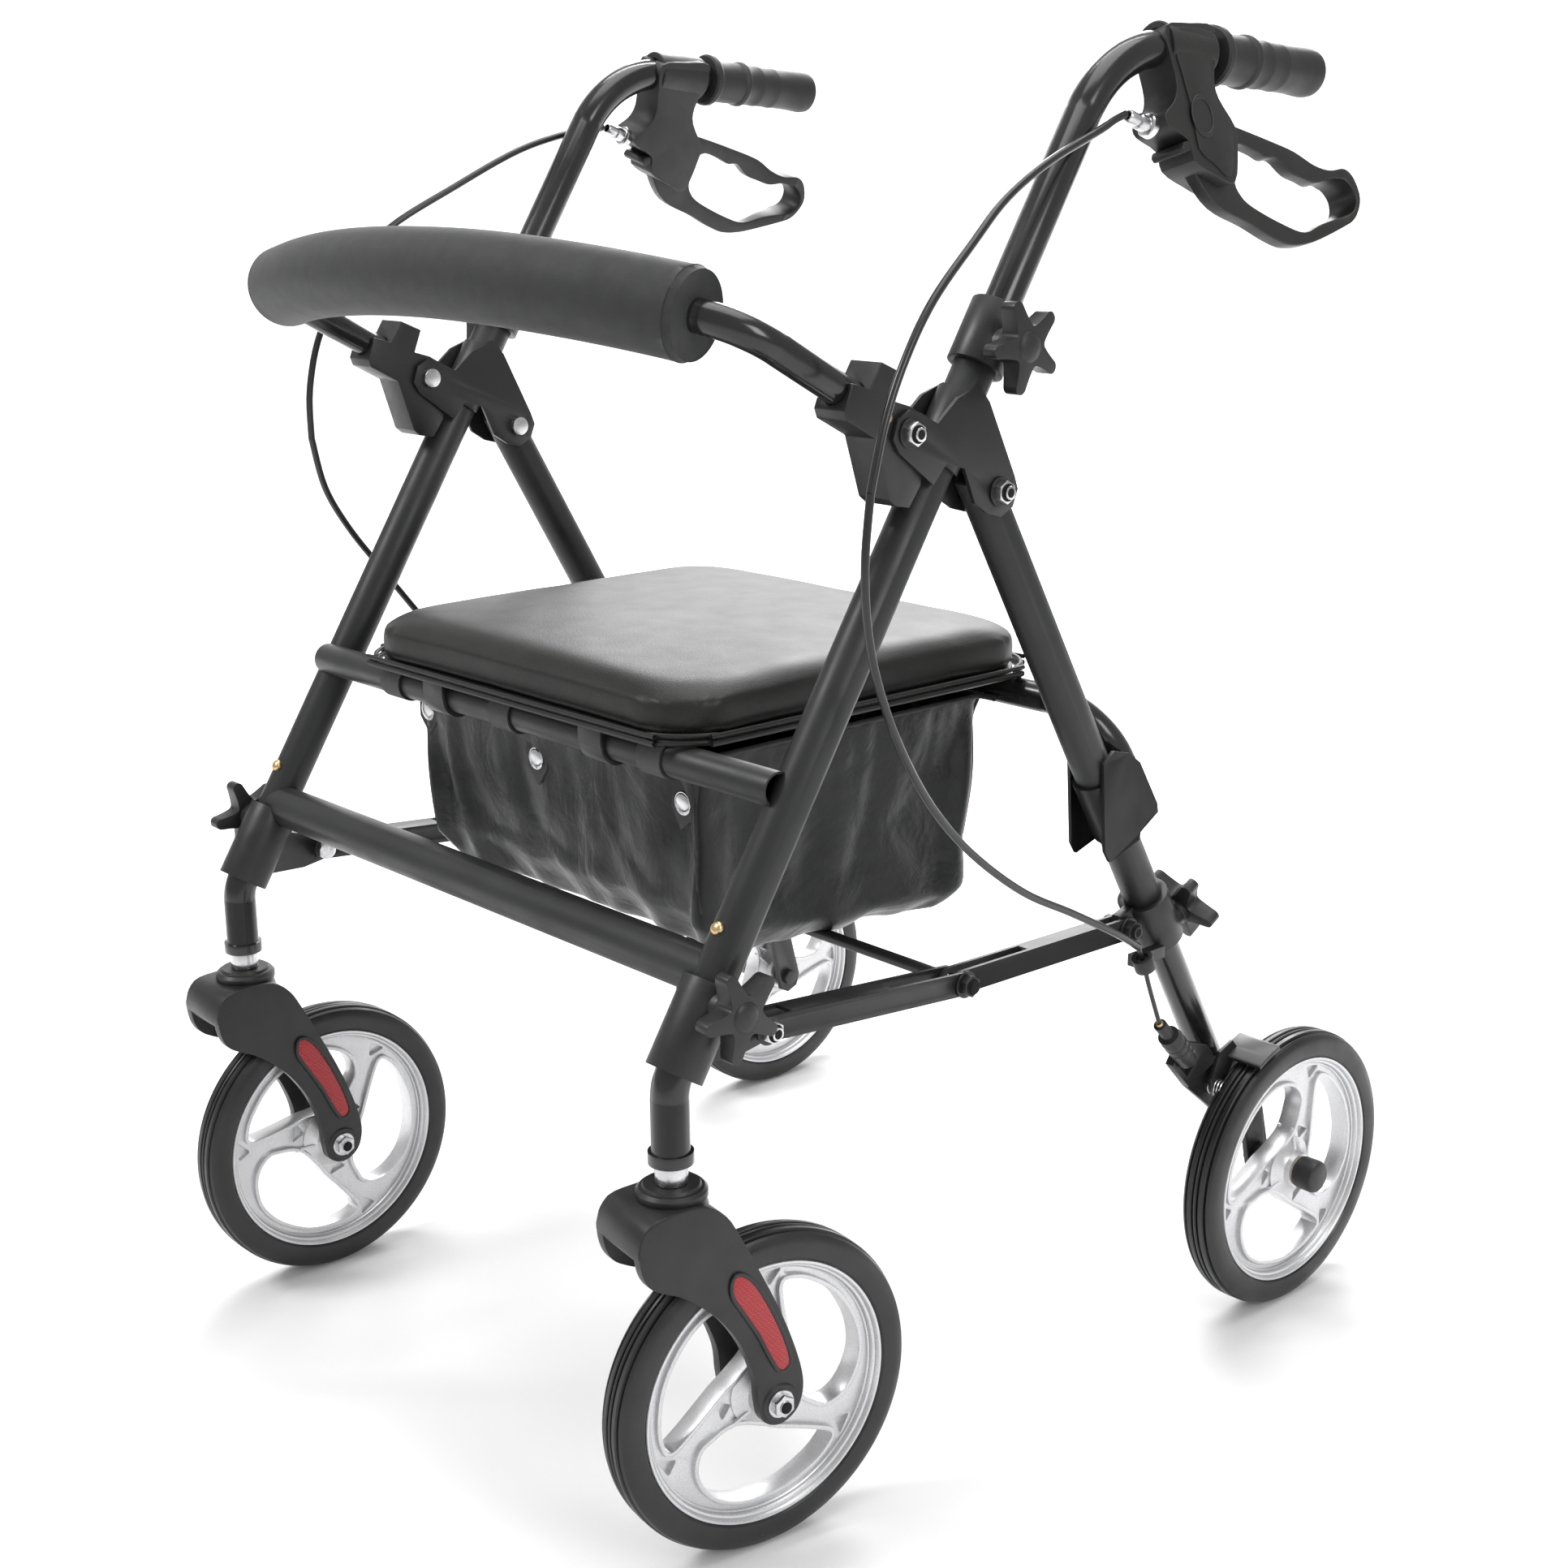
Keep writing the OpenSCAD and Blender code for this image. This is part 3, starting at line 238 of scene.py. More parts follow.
def make_finishes():
    graphite = coated("graphite_paint", (0.019, 0.0195, 0.0195), 0.42, 0.04, metallic=0.1)
    gloss_black = coated("gloss_black_paint", (0.009, 0.009, 0.0095), 0.2, 0.03, 0.2, coat=0.3)
    plate_black = coated("bracket_paint", (0.014, 0.014, 0.015), 0.36, 0.05)
    nylon = moulded("black_nylon", (0.013, 0.013, 0.014), 0.42)
    shell = moulded("brake_shell", (0.014, 0.0135, 0.013), 0.46, 0.06)
    rubber = moulded("grip_rubber", (0.015, 0.015, 0.015), 0.55, 0.09)

    f = Finish("zinc_steel", (0.62, 0.62, 0.63), 0.24, metallic=1.0)
    f.tones(f.noise(60, 5), (0.3, (0.5, 0.5, 0.51)), (0.7, (0.74, 0.74, 0.75)))
    f.roughened(f.noise(200, 4), 0.16, 0.34)
    f.bump(f.noise(1100, 2), 0.2, 0.03 * MM)
    zinc = f.mat

    f = Finish("brass", (0.7, 0.5, 0.26), 0.3, metallic=1.0)
    f.tones(f.noise(120, 4), (0.3, (0.6, 0.41, 0.2)), (0.7, (0.8, 0.6, 0.34)))
    f.bump(f.noise(1300, 2), 0.2, 0.03 * MM)
    brass = f.mat

    f = Finish("back_rest_foam", (0.016, 0.0165, 0.018), 0.72, sheen=0.12)
    f.tones(f.noise(30, 6), (0.3, (0.0135, 0.014, 0.0155)), (0.7, (0.0175, 0.018, 0.0195)))
    f.roughened(f.noise(90, 4), 0.66, 0.76)
    f.bump(f.cells(1400), 0.5, 0.16 * MM)
    f.bump(f.noise(18, 2), 0.12, 0.5 * MM)
    foam = f.mat

    f = Finish("tyre_rubber", (0.012, 0.012, 0.0125), 0.36)
    f.tones(f.noise(24, 6), (0.3, (0.009, 0.009, 0.0095)), (0.75, (0.018, 0.018, 0.019)))
    f.roughened(f.noise(45, 5), 0.27, 0.48)
    f.bump(f.noise(1000, 3), 0.3, 0.06 * MM)
    tyre = f.mat

    f = Finish("silver_rim", (0.66, 0.66, 0.67), 0.34, metallic=0.72, coat=0.25)
    f.tones(f.noise(1800, 2), (0.25, (0.52, 0.52, 0.53)), (0.8, (0.8, 0.8, 0.81)))
    f.roughened(f.noise(50, 4), 0.28, 0.42)
    f.bump(f.noise(1500, 2), 0.25, 0.03 * MM)
    f.bump(f.noise(30, 2), 0.1, 0.4 * MM)
    silver = f.mat

    f = Finish("leatherette", (0.014, 0.0135, 0.013), 0.42, specular=0.32)
    grain = f.spread(f.cells(420, "DISTANCE_TO_EDGE"), 0.0, 0.16, 0.0, 1.0)
    f.tones(f.noise(18, 3), (0.3, (0.0125, 0.012, 0.0115)), (0.7, (0.0165, 0.016, 0.015)))
    f.roughened(f.noise(40, 3), 0.4, 0.45)
    f.bump(grain, 0.28, 0.14 * MM)
    f.bump(f.noise(1200, 3), 0.25, 0.05 * MM)
    leather = f.mat

    f = Finish("bag_cloth", (0.008, 0.0085, 0.0095), 0.36, specular=0.4)
    weave = f.maths("ADD", f.bands(700, "Z"), f.maths("MULTIPLY", f.bands(700, "X"), f.bands(700, "Y")))
    f.tones(f.noise(26, 6), (0.3, (0.0055, 0.006, 0.007)), (0.72, (0.012, 0.0125, 0.014)))
    f.roughened(f.noise(60, 5), 0.28, 0.46)
    f.bump(weave, 0.25, 0.12 * MM)
    f.bump(f.noise(120, 5, 0.8), 0.35, 0.8 * MM)
    f.bump(f.noise(13, 4, 1.6, (1.5, 1, 1)), 0.6, 5.0 * MM)
    cloth = f.mat

    f = Finish("webbing", (0.017, 0.017, 0.018), 0.7, sheen=0.2)
    f.tones(f.noise(200, 4), (0.3, (0.012, 0.012, 0.013)), (0.7, (0.024, 0.024, 0.026)))
    f.bump(f.maths("ADD", f.bands(520, "Z"), f.bands(520, "X")), 0.6, 0.25 * MM)
    webbing = f.mat

    f = Finish("cable_sheath", (0.012, 0.012, 0.012), 0.3, coat=0.2)
    f.tones(f.noise(40, 4), (0.3, (0.010, 0.010, 0.010)), (0.7, (0.016, 0.016, 0.016)))
    f.bump(f.noise(700, 2), 0.2, 0.04 * MM)
    sheath = f.mat

    f = Finish("red_reflector", (0.5, 0.006, 0.014), 0.22, coat=0.25)
    prisms = f.maths("MULTIPLY", f.bands(190, "DIAGONAL", "TRI"), f.bands(190, "Z", "TRI"))
    f.tones(prisms, (0.2, (0.3, 0.003, 0.008)), (0.8, (0.62, 0.012, 0.02)))
    f.bump(prisms, 0.5, 0.5 * MM)
    red = f.mat

    f = Finish("thread", (0.03, 0.03, 0.032), 0.6, sheen=0.2)
    f.tones(f.noise(800, 2), (0.3, (0.022, 0.022, 0.024)), (0.7, (0.045, 0.045, 0.048)))
    f.bump(f.bands(1500, "DIAGONAL"), 0.5, 0.08 * MM)
    thread = f.mat

    # painted shade: a near-black matte finish that stands in for the shade down the holes at the centres of nuts and
    # bolt ends
    f = Finish("painted_hole_shade", (0.003, 0.003, 0.003), 0.9)
    f.bump(f.noise(400, 2), 0.2, 0.1 * MM)
    hole_shade = f.mat
    return dict(graphite=graphite, gloss=gloss_black, plate=plate_black, nylon=nylon, shell=shell, rubber=rubber,
                zinc=zinc, brass=brass, foam=foam, tyre=tyre, silver=silver, leather=leather, cloth=cloth,
                webbing=webbing, sheath=sheath, red=red, thread=thread, hole_shade=hole_shade)


LOOK = make_finishes()


# ------------------------------------------------------------ making and placing pieces
def clean(bm):
    bmesh.ops.remove_doubles(bm, verts=bm.verts, dist=1e-5)
    bmesh.ops.recalc_face_normals(bm, faces=bm.faces)


def placed(name, bm, look, body, place=None, side=1, stands_for=(), smooth_angle=32, scale=MM):
    """Turns a mesh in millimetres into a piece in metres that rides on a body."""
    where = Matrix.Scale(scale, 4) @ Matrix.Diagonal((side, 1, 1, 1)) @ (place or Matrix())
    bm.transform(where)
    if where.determinant() < 0:
        bmesh.ops.reverse_faces(bm, faces=bm.faces)
    mesh = bpy.data.meshes.new(name)
    bm.to_mesh(mesh)
    bm.free()
    mesh.materials.append(LOOK[look])
    mesh.shade_smooth()
    mesh.set_sharp_from_angle(angle=rad(smooth_angle))
    made = bpy.data.objects.new(name, mesh)
    bpy.context.scene.collection.objects.link(made)
    if body:
        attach(made, body)
    if stands_for:
        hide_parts(*([stands_for] if isinstance(stands_for, str) else stands_for))
    return made


def round_edges(bm, width, segments=2, over=28):
    edges = [e for e in bm.edges if len(e.link_faces) == 2 and e.calc_face_angle(0) > rad(over)]
    if edges and width:
        bmesh.ops.bevel(bm, geom=edges, offset=width, offset_type="OFFSET", affect="EDGES", segments=segments,
                        profile=0.5, material=-1, clamp_overlap=True)


def refined(node, look, width, body, name=None, segments=2, smooth_angle=32, over=28):
    """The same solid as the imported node, with its edges broken as a moulding's or a pressing's are."""
    bm = bmesh.new()
    bm.from_mesh(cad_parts[node].data)
    bm.transform(Matrix.Scale(1 / MM, 4))
    bmesh.ops.remove_doubles(bm, verts=bm.verts, dist=2e-3)
    bmesh.ops.dissolve_limit(bm, angle_limit=rad(0.8), verts=bm.verts, edges=bm.edges)
    round_edges(bm, width, segments, over)
    return placed(name or node + "_piece", bm, look, body, stands_for=node, smooth_angle=smooth_angle)


def lathe(profile, steps=48, closed=False):
    """Spins (radius, height) points about Z."""
    bm = bmesh.new()
    verts = [bm.verts.new((r, 0, z)) for r, z in profile]
    pairs = list(zip(verts, verts[1:])) + ([(verts[-1], verts[0])] if closed else [])
    edges = [bm.edges.new(p) for p in pairs]
    bmesh.ops.spin(bm, geom=verts + edges, cent=(0, 0, 0), axis=(0, 0, 1), dvec=(0, 0, 0), angle=2 * math.pi,
                   steps=steps, use_merge=True)
    bmesh.ops.remove_doubles(bm, verts=bm.verts, dist=1e-4)
    flat = [f for f in bm.faces if f.calc_area() < 1e-9]
    bmesh.ops.delete(bm, geom=flat, context="FACES")
    bmesh.ops.recalc_face_normals(bm, faces=bm.faces)
    return bm


def smooth_loop(points, per=4, closed=True):
    """Points along a smooth curve through the given ones."""
    n = len(points)
    vec = [Vector(p) for p in points]
    out = []
    for i in range(n if closed else n - 1):
        if closed:
            a, b, c, d = (vec[(i + k) % n] for k in (-1, 0, 1, 2))
        else:
            a, b, c, d = (vec[min(max(i + k, 0), n - 1)] for k in (-1, 0, 1, 2))
        for k in range(per):
            t = k / per
            out.append(0.5 * (2 * b + (c - a) * t + (2 * a - 5 * b + 4 * c - d) * t * t
                              + (3 * b - a - 3 * c + d) * t ** 3))
    if not closed:
        out.append(vec[-1])
    return out


def plate(outline, x0, x1, holes=(), width=1.0, segments=2, flare=None):
    """A flat piece between x0 and x1 with an outline in Y and Z, holes and rounded edges."""
    bm = bmesh.new()
    edges = []
    for loop in (outline, *holes):
        verts = [bm.verts.new((x0, p[0], p[1])) for p in loop]
        edges += [bm.edges.new((a, b)) for a, b in zip(verts, verts[1:] + verts[:1])]
    bmesh.ops.triangle_fill(bm, use_beauty=True, use_dissolve=False, edges=edges, normal=(-1, 0, 0))
    out = bmesh.ops.extrude_face_region(bm, geom=list(bm.faces), use_keep_orig=True)
    bmesh.ops.translate(bm, verts=[g for g in out["geom"] if isinstance(g, bmesh.types.BMVert)], vec=(x1 - x0, 0, 0))
    bmesh.ops.recalc_face_normals(bm, faces=bm.faces)
    if flare:
        for v in bm.verts:
            v.co.x = (x0 + x1) / 2 + (v.co.x - (x0 + x1) / 2) * flare(v.co.y, v.co.z)
    round_edges(bm, width, segments, 40)
    return bm


def joined(*meshes):
    """Several meshes as one, each with its own transform if given as (mesh, matrix)."""
    out = bmesh.new()
    for m in meshes:
        m, where = m if isinstance(m, tuple) else (m, Matrix())
        m.transform(where)
        if where.determinant() < 0:
            bmesh.ops.reverse_faces(m, faces=m.faces)
        holder = bpy.data.meshes.new("holder")
        m.to_mesh(holder)
        m.free()
        out.from_mesh(holder)
        bpy.data.meshes.remove(holder)
    return out


def strand(points, radius, sides=12, closed=False, per=4, ends=True):
    """A round strand along a smooth curve, swept with a frame that doesn't twist."""
    path = smooth_loop(points, per, closed)
    bm = bmesh.new()
    n = len(path)
    tangents = []
    for i in range(n):
        a = path[(i - 1) % n] if closed else path[max(i - 1, 0)]
        b = path[(i + 1) % n] if closed else path[min(i + 1, n - 1)]
        tangents.append((b - a).normalized())
    across = tangents[0].orthogonal().normalized()
    rings = []
    for p, t in zip(path, tangents):
        across = (across - t * across.dot(t)).normalized()
        up = t.cross(across)
        ring = bmesh.ops.create_circle(bm, cap_ends=False, segments=sides, radius=radius,
                                       matrix=Matrix.Translation(p) @ Matrix((across, up, t)).transposed().to_4x4())
        rings.append(ring["verts"])
    for i in range(n if closed else n - 1):
        a, b = rings[i], rings[(i + 1) % n]
        best = 0
        if closed and i == n - 1:
            best = min(range(sides), key=lambda k: (a[0].co - b[k].co).length)
        for k in range(sides):
            bm.faces.new((a[k], a[(k + 1) % sides], b[(k + 1 + best) % sides], b[(k + best) % sides]))
    if ends and not closed:
        bm.faces.new(list(reversed(rings[0])))
        bm.faces.new(rings[-1])
    bmesh.ops.recalc_face_normals(bm, faces=bm.faces)
    return bm


def washer(outer, inner, thick):
    c = min(0.4, thick * 0.3)
    return lathe([(inner, 0), (outer - c, 0), (outer, c), (outer, thick - c), (outer - c, thick), (inner, thick)], 40, True)


def dome(radius, height, foot=0.0):
    points = [(radius, 0)] + ([(radius, foot)] if foot else [])
    points += [(radius * math.cos(a), foot + height * math.sin(a)) for a in (rad(k) for k in (20, 40, 60, 78))]
    return lathe(points + [(0, foot + height)], 28)


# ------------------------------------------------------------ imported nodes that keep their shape, with broken edges
def frame_pieces():
    for look, width, body, nodes in (
        ("graphite", 0.5, "front_frame", ["left_front_leg", "right_front_leg", "lower_crossbar", "seat_crossbar"]),
        ("graphite", 0.5, "rear_frame", ["left_rear_leg", "right_rear_leg"]),
        ("plate", 0.7, "front_frame", ["hinge_brackets"]),
        ("nylon", 1.1, "front_frame", ["upper_collars", "lower_collars"]),
        ("zinc", 0.35, "front_frame", ["frame_fasteners"]),
        ("gloss", 0.5, "rear_frame", ["rear_seat_tube"]),
        ("plate", 0.7, "rear_frame", ["seat_tube_brackets"]),
        ("nylon", 1.1, "rear_frame", ["rear_collars"]),
        ("plate", 0.5, "front_linkage", ["front_links"]),
        ("plate", 0.5, "front_linkage", ["cross_rod"]),
        ("plate", 0.5, "rear_linkage", ["rear_links"]),
        ("nylon", 0.8, "seat", ["seat_clips", "seat_board"]),
        ("gloss", 0.5, "backrest", ["backrest_tube"]),
        ("nylon", 1.2, "backrest", ["backrest_sockets"]),
    ):
        for node in nodes:
            refined(node, look, width, body)
    for name, side in SIDES:
        refined(name + "_handle_tube", "gloss", 0.5, name + "_handle")
        refined(name + "_front_stem", "gloss", 0.8, name + "_front_extension")
        refined(name + "_caster_steel", "zinc", 0.35, name + "_caster")
        refined(name + "_rear_stem", "gloss", 0.5, name + "_rear_extension")
        refined(name + "_wheel_bracket", "plate", 0.5, name + "_rear_extension")
        refined(name + "_brake_shoe", "plate", 0.4, name + "_brake")
        for knob, place in (("upper", on_front(689) @ ALONG_X), ("front", on_front(345) @ ALONG_X),
                            ("rear", on_rear(291) @ turn(-90, "X"))):
            placed(f"{name}_{knob}_star", star(), "nylon", f"{name}_{knob}_screw", place, side,
                   f"{name}_{knob}_knob", 40)


STAR_TIP, STAR_VALLEY, STAR_FOOT, STAR_THICK = 27.0, 12.0, 22.4, 12.5


def star():
    """A hand screw's head: five blunt points that thin towards their tips, on a short neck, with a domed middle."""
    outline = []
    for k in range(5):
        for a, r in ((-36, STAR_VALLEY), (-20, 15.2), (-11.5, 21), (-8.5, 25), (-3.5, STAR_TIP), (3.5, STAR_TIP), (8.5, 25),
                     (11.5, 21), (20, 15.2)):
            outline.append((r * math.cos(rad(72 * k + a)), r * math.sin(rad(72 * k + a))))
    head = plate(smooth_loop(outline, 3), 0, STAR_THICK, (), 2.6, 4)
    for v in head.verts:
        reach = math.hypot(v.co.y, v.co.z)
        v.co.x = STAR_THICK * 0.55 + (v.co.x - STAR_THICK * 0.55) * (1.06 - 0.3 * (reach / STAR_TIP) ** 2)
    stand_up = LAY.inverted()
    neck = lathe([(0.1, 0), (9.5, 0), (10.4, 1), (10.4, 5.6), (0.1, 5.6)], 40)
    cap = lathe([(0.1, 0), (9.4, 0), (8.6, 1.2), (6.4, 2.3), (3.2, 2.9), (0.1, 3.1)], 36)
    return joined((head, shift(0, 0, STAR_FOOT) @ turn(18, "Z") @ stand_up), (neck, shift(0, 0, STAR_FOOT - 4.4)),
                  (cap, shift(0, 0, STAR_FOOT + STAR_THICK - 0.6)))


# ------------------------------------------------------------ wheels
TYRE_EDGE = [(82.1, 11.0), (83.5, 12.4), (86, 12.9), (91.5, 13), (95.2, 12.3), (97.6, 10.9), (98.7, 9.2), (98.5, 8.5),
             (97.3, 8.1), (97.3, 7.4), (99.2, 6.9), (99.8, 6.2), (99.9, 3.4), (99.5, 2.7), (98.0, 2.3), (98.0, 1.6),
             (99.6, 1.1), (100, 0)]
WINDOW = [(-28, 49), (-27.5, 41), (-26, 34), (-19, 26.5), (-2, 22.5), (15, 22.3), (32, 24.3), (47, 29.5), (59, 36),
          (69, 46), (75, 57), (77, 65), (74, 68.3), (62, 69.3), (42, 69.5), (22, 69.5), (6, 69), (-6, 66), (-16, 61.5),
          (-23, 56)]
POCKET = [(78.5, 75), (89, 73.2), (84.5, 64.5)]
HUB_POCKET = [(58, 31), (84, 30), (70, 21.5)]


def polar(points, turned=0.0):
    return [(r * math.cos(rad(a + turned)), r * math.sin(rad(a + turned))) for a, r in points]


def swollen(loop, by):
    """The outline pushed outwards by a distance."""
    n = len(loop)
    out = []
    for i, p in enumerate(loop):
        a, b = Vector(loop[i - 1][:2]), Vector(loop[(i + 1) % n][:2])
        along = (b - a).normalized()
        out.append(Vector((p[0], p[1])) + Vector((along.y, -along.x)) * by)
    return out


def soft_corners(loop, cut):
    """The outline with each corner cut back to a short arc."""
    out = []
    n = len(loop)
    for i, p in enumerate(loop):
        here = Vector(p)
        a = here + (Vector(loop[i - 1]) - here).normalized() * cut
        b = here + (Vector(loop[(i + 1) % n]) - here).normalized() * cut
        out += [a, (a + b) / 4 + here / 2, b]
    return out


def area_of(loop):
    return sum(a[0] * b[1] - b[0] * a[1] for a, b in zip(loop, loop[1:] + loop[:1])) / 2


def tyre_mesh():
    half = TYRE_EDGE
    return lathe(half + [(r, -x) for r, x in reversed(half[:-1])], 128, True)


def ring_band(r_out, r_in, x):
    return lathe([(r_out, -x), (r_out, x), (r_in, x), (r_in, -x)], 96, True)


def rim_mesh(bore):
    windows, pockets, lips = [], [], []
    for k in range(3):
        w = [Vector(p) for p in smooth_loop(polar(WINDOW, 120 * k), 3)]
        if area_of(w) < 0:
            w.reverse()
        windows.append(w)
        pockets += [soft_corners(polar(p, 120 * k), 1.6) for p in (POCKET, HUB_POCKET)]
        lips.append(plate(swollen(w, 3.0), -7.4, 7.4, [w], 0.9, 2))
    ring = [(78 * math.cos(rad(a)), 78 * math.sin(rad(a))) for a in range(0, 360, 4)]
    hole = [(14 * math.cos(rad(a)), 14 * math.sin(rad(a))) for a in range(0, 360, 12)]
    web = plate(ring, -4.8, 4.8, [*[swollen(w, 0.5) for w in windows], *pockets, hole], 0.7, 2)
    back = plate(ring, -1.2, 1.2, [*[swollen(w, 1.0) for w in windows], hole], 0.2, 1)
    rail = [(82, 11.2), (82, -11.2), (81.6, -11.9), (80.2, -11.9), (79.4, -11), (78.9, -9.2), (77.6, -8.8), (77, -8),
            (76.6, -6.4), (75.8, -5.9), (75.6, 0), (75.8, 5.9), (76.6, 6.4), (77, 8), (77.6, 8.8), (78.9, 9.2), (79.4, 11),
            (80.2, 11.9), (81.6, 11.9)]
    outer = lathe(rail, 128, True)
    hub = lathe([(bore + 0.05, -15.3), (10.5, -15.4), (12.2, -14.6), (13.2, -11), (16.5, -8.2), (22, -6.4), (22, 6.4),
                 (16.5, 8.2), (13.2, 11), (12.2, 14.6), (10.5, 15.4), (bore + 0.05, 15.3)], 64, True)
    ribs = []
    for k in range(3):
        for side in (1, -1):
            rib = bmesh.new()
            bmesh.ops.create_cube(rib, size=1, matrix=Matrix.Diagonal((3.0, 21, 2.6, 1)))
            round_edges(rib, 0.9, 2)
            where = turn(120 * k + 98, "X") @ shift(side * 7.4, 19, 0) @ turn(side * 14, "Z")
            ribs.append((rib, where))
    lay = LAY
    return joined(*lips, web, back, (outer, lay), (hub, lay), *ribs)


def wheels():
    start = {"left_front": 0, "right_front": 89.5, "left_rear": -12.7, "right_rear": 35}
    for name, side in SIDES:
        caster = shift(HALF_TRACK, CASTER_Y, 0) @ turn(SWIVEL[name], "Z")
        spots = {"front": (caster @ shift(0, TRAIL, AXLE_Z), 4.05), "rear": (shift(REAR_WHEEL_X, REAR_AXLE_Y, AXLE_Z), 6.05)}
        for end, (place, bore) in spots.items():
            key = f"{name}_{end}"
            flip = Matrix.Diagonal((side, 1, 1, 1))
            there = flip @ place @ flip
            body = key + "_wheel"
            placed(key + "_tyre_piece", tyre_mesh(), "tyre", body, there @ LAY, 1, key + "_tyre", 24)
            placed(key + "_rim_piece", rim_mesh(bore), "silver", body, there @ turn(start[key], "X"), 1, key + "_rim", 28)


# ------------------------------------------------------------ casters
ARM = [(-30, 232), (-12, 237), (8, 236), (21, 227), (31, 210), (42, 188), (54, 163), (64, 138), (70.5, 116), (71, 102),
       (66, 91), (54.8, 86), (44, 91), (40.5, 103), (38.5, 121), (30, 143), (17, 163), (2, 178), (-10, 187), (-20, 192),
       (-29, 198), (-34, 208), (-35, 221)]
CRESCENT = [(26, 189), (35, 184), (45, 168), (55, 146), (60.5, 129), (60, 123), (55, 122), (49.5, 131), (41, 149),
            (31, 166), (24, 179)]


def casters():
    for name, side in SIDES:
        spot = shift(HALF_TRACK, CASTER_Y, 0) @ turn(SWIVEL[name], "Z")
        parts = []
        for x in (17.0, -24.0):
            parts.append(plate(smooth_loop(ARM, 4), x, x + 7, (), 2.2, 3))
            near = x + 7 if x > 0 else x
            out = 1 if x > 0 else -1
            rim = plate(swollen(smooth_loop(CRESCENT, 4)[::-1], 2.4), near - 1.0, near + 1.6 if out > 0 else near + 1.0,
                        [smooth_loop(CRESCENT, 4)], 0.6, 2)
            if out < 0:
                rim.transform(shift(-1.0, 0, 0))
            parts.append(rim)
            parts.append((lathe([(0, 0), (12.5, 0), (12.5, 6.2), (11.4, 7.4), (0, 7.4)], 40),
                          shift(near if out > 0 else near, TRAIL, AXLE_Z) @ turn(90 * out, "Y") @ shift(0, 0, -6.2)))
        shoulder = [(-34.5, 214), (-35, 224), (-28, 235), (-12, 237.5), (8, 236.5), (21, 227), (30, 211), (27, 205.5),
                    (6, 205), (-22, 206)]
        parts.append(plate(smooth_loop(shoulder, 3), -23.6, 23.6, (), 3.4, 3))
        head = lathe([(6.1, 201), (19.5, 201), (20.5, 203), (20.5, 232), (19.6, 234), (19.6, 236), (20.4, 237.5), (20.4, 241),
                      (18.6, 243), (17, 243.2), (16, 244.8), (6.1, 244.8)], 56, True)
        parts.append(head)
        placed(name + "_fork_piece", joined(*parts), "nylon", name + "_caster", spot, side, name + "_caster_fork", 30)
        for x, out, tag in ((24.2, 1, "outer"), (-24.2, -1, "inner")):
            lens = plate(smooth_loop(CRESCENT, 4), -0.6, 1.1, (), 0.5, 2)
            placed(f"{name}_{tag}_reflector", lens, "red", name + "_caster", spot @ shift(x, 0, 0) @ Matrix.Diagonal((out, 1, 1, 1)), side)
            placed(f"{name}_{tag}_axle_washer", washer(8.6, 4.1, 1.4), "zinc", name + "_caster",
                   spot @ shift(out * 24.9, TRAIL, AXLE_Z) @ turn(90 * out, "Y"), side)
            # painted shade: a near-black dome at the axle nut's centre stands in for the shade in its hole
            placed(f"{name}_{tag}_nut_insert", dome(3.6, 0.9, 0.6), "hole_shade", name + "_caster",
                   spot @ shift(out * 30.9, TRAIL, AXLE_Z) @ turn(90 * out, "Y"), side)


# ------------------------------------------------------------ handles and brakes
LEVER = [(111, 818), (130, 812), (155, 806), (185, 798), (212, 790), (228, 781), (240, 777), (253, 777), (261, 770.5),
         (264, 758), (257, 747), (245, 741), (216, 733), (192, 731.5), (175, 736), (153, 746), (124, 758), (108, 778), (102, 802)]
FINGERS = [(153, 794), (171, 791), (182, 786.5), (192, 786), (204, 777), (216, 773), (228, 770), (240, 771.5), (252, 769),
           (259, 761), (257, 752), (247, 747.5), (227, 744), (208, 739.5), (187, 745), (160, 756), (149, 764), (146, 774)]
HOUSING = [(95, 863), (118, 865), (140, 864), (139, 850), (132, 832), (133, 820), (144, 803), (143, 790), (134, 769),
           (116, 774), (99, 783), (97, 795), (81, 803.5), (79.5, 810.5), (90, 818), (95, 828), (94, 846)]
GRIP = [(0.5, 0.2), (17.2, 0.2), (18.6, 1.6), (18.7, 4.8), (17.4, 7.2), (15.9, 8.6), (15.2, 11), (15.1, 28), (15.3, 31.5),
        (16.3, 33), (16.5, 35.6), (15.6, 37.4), (14.7, 39), (14.5, 48), (14.9, 50), (14.9, 51.4), (14.5, 53), (14.4, 64),
        (14.8, 66), (14.8, 67.4), (14.4, 69), (14.5, 84), (15.1, 94), (15.3, 100), (14.6, 104), (12.6, 106), (0.5, 106)]


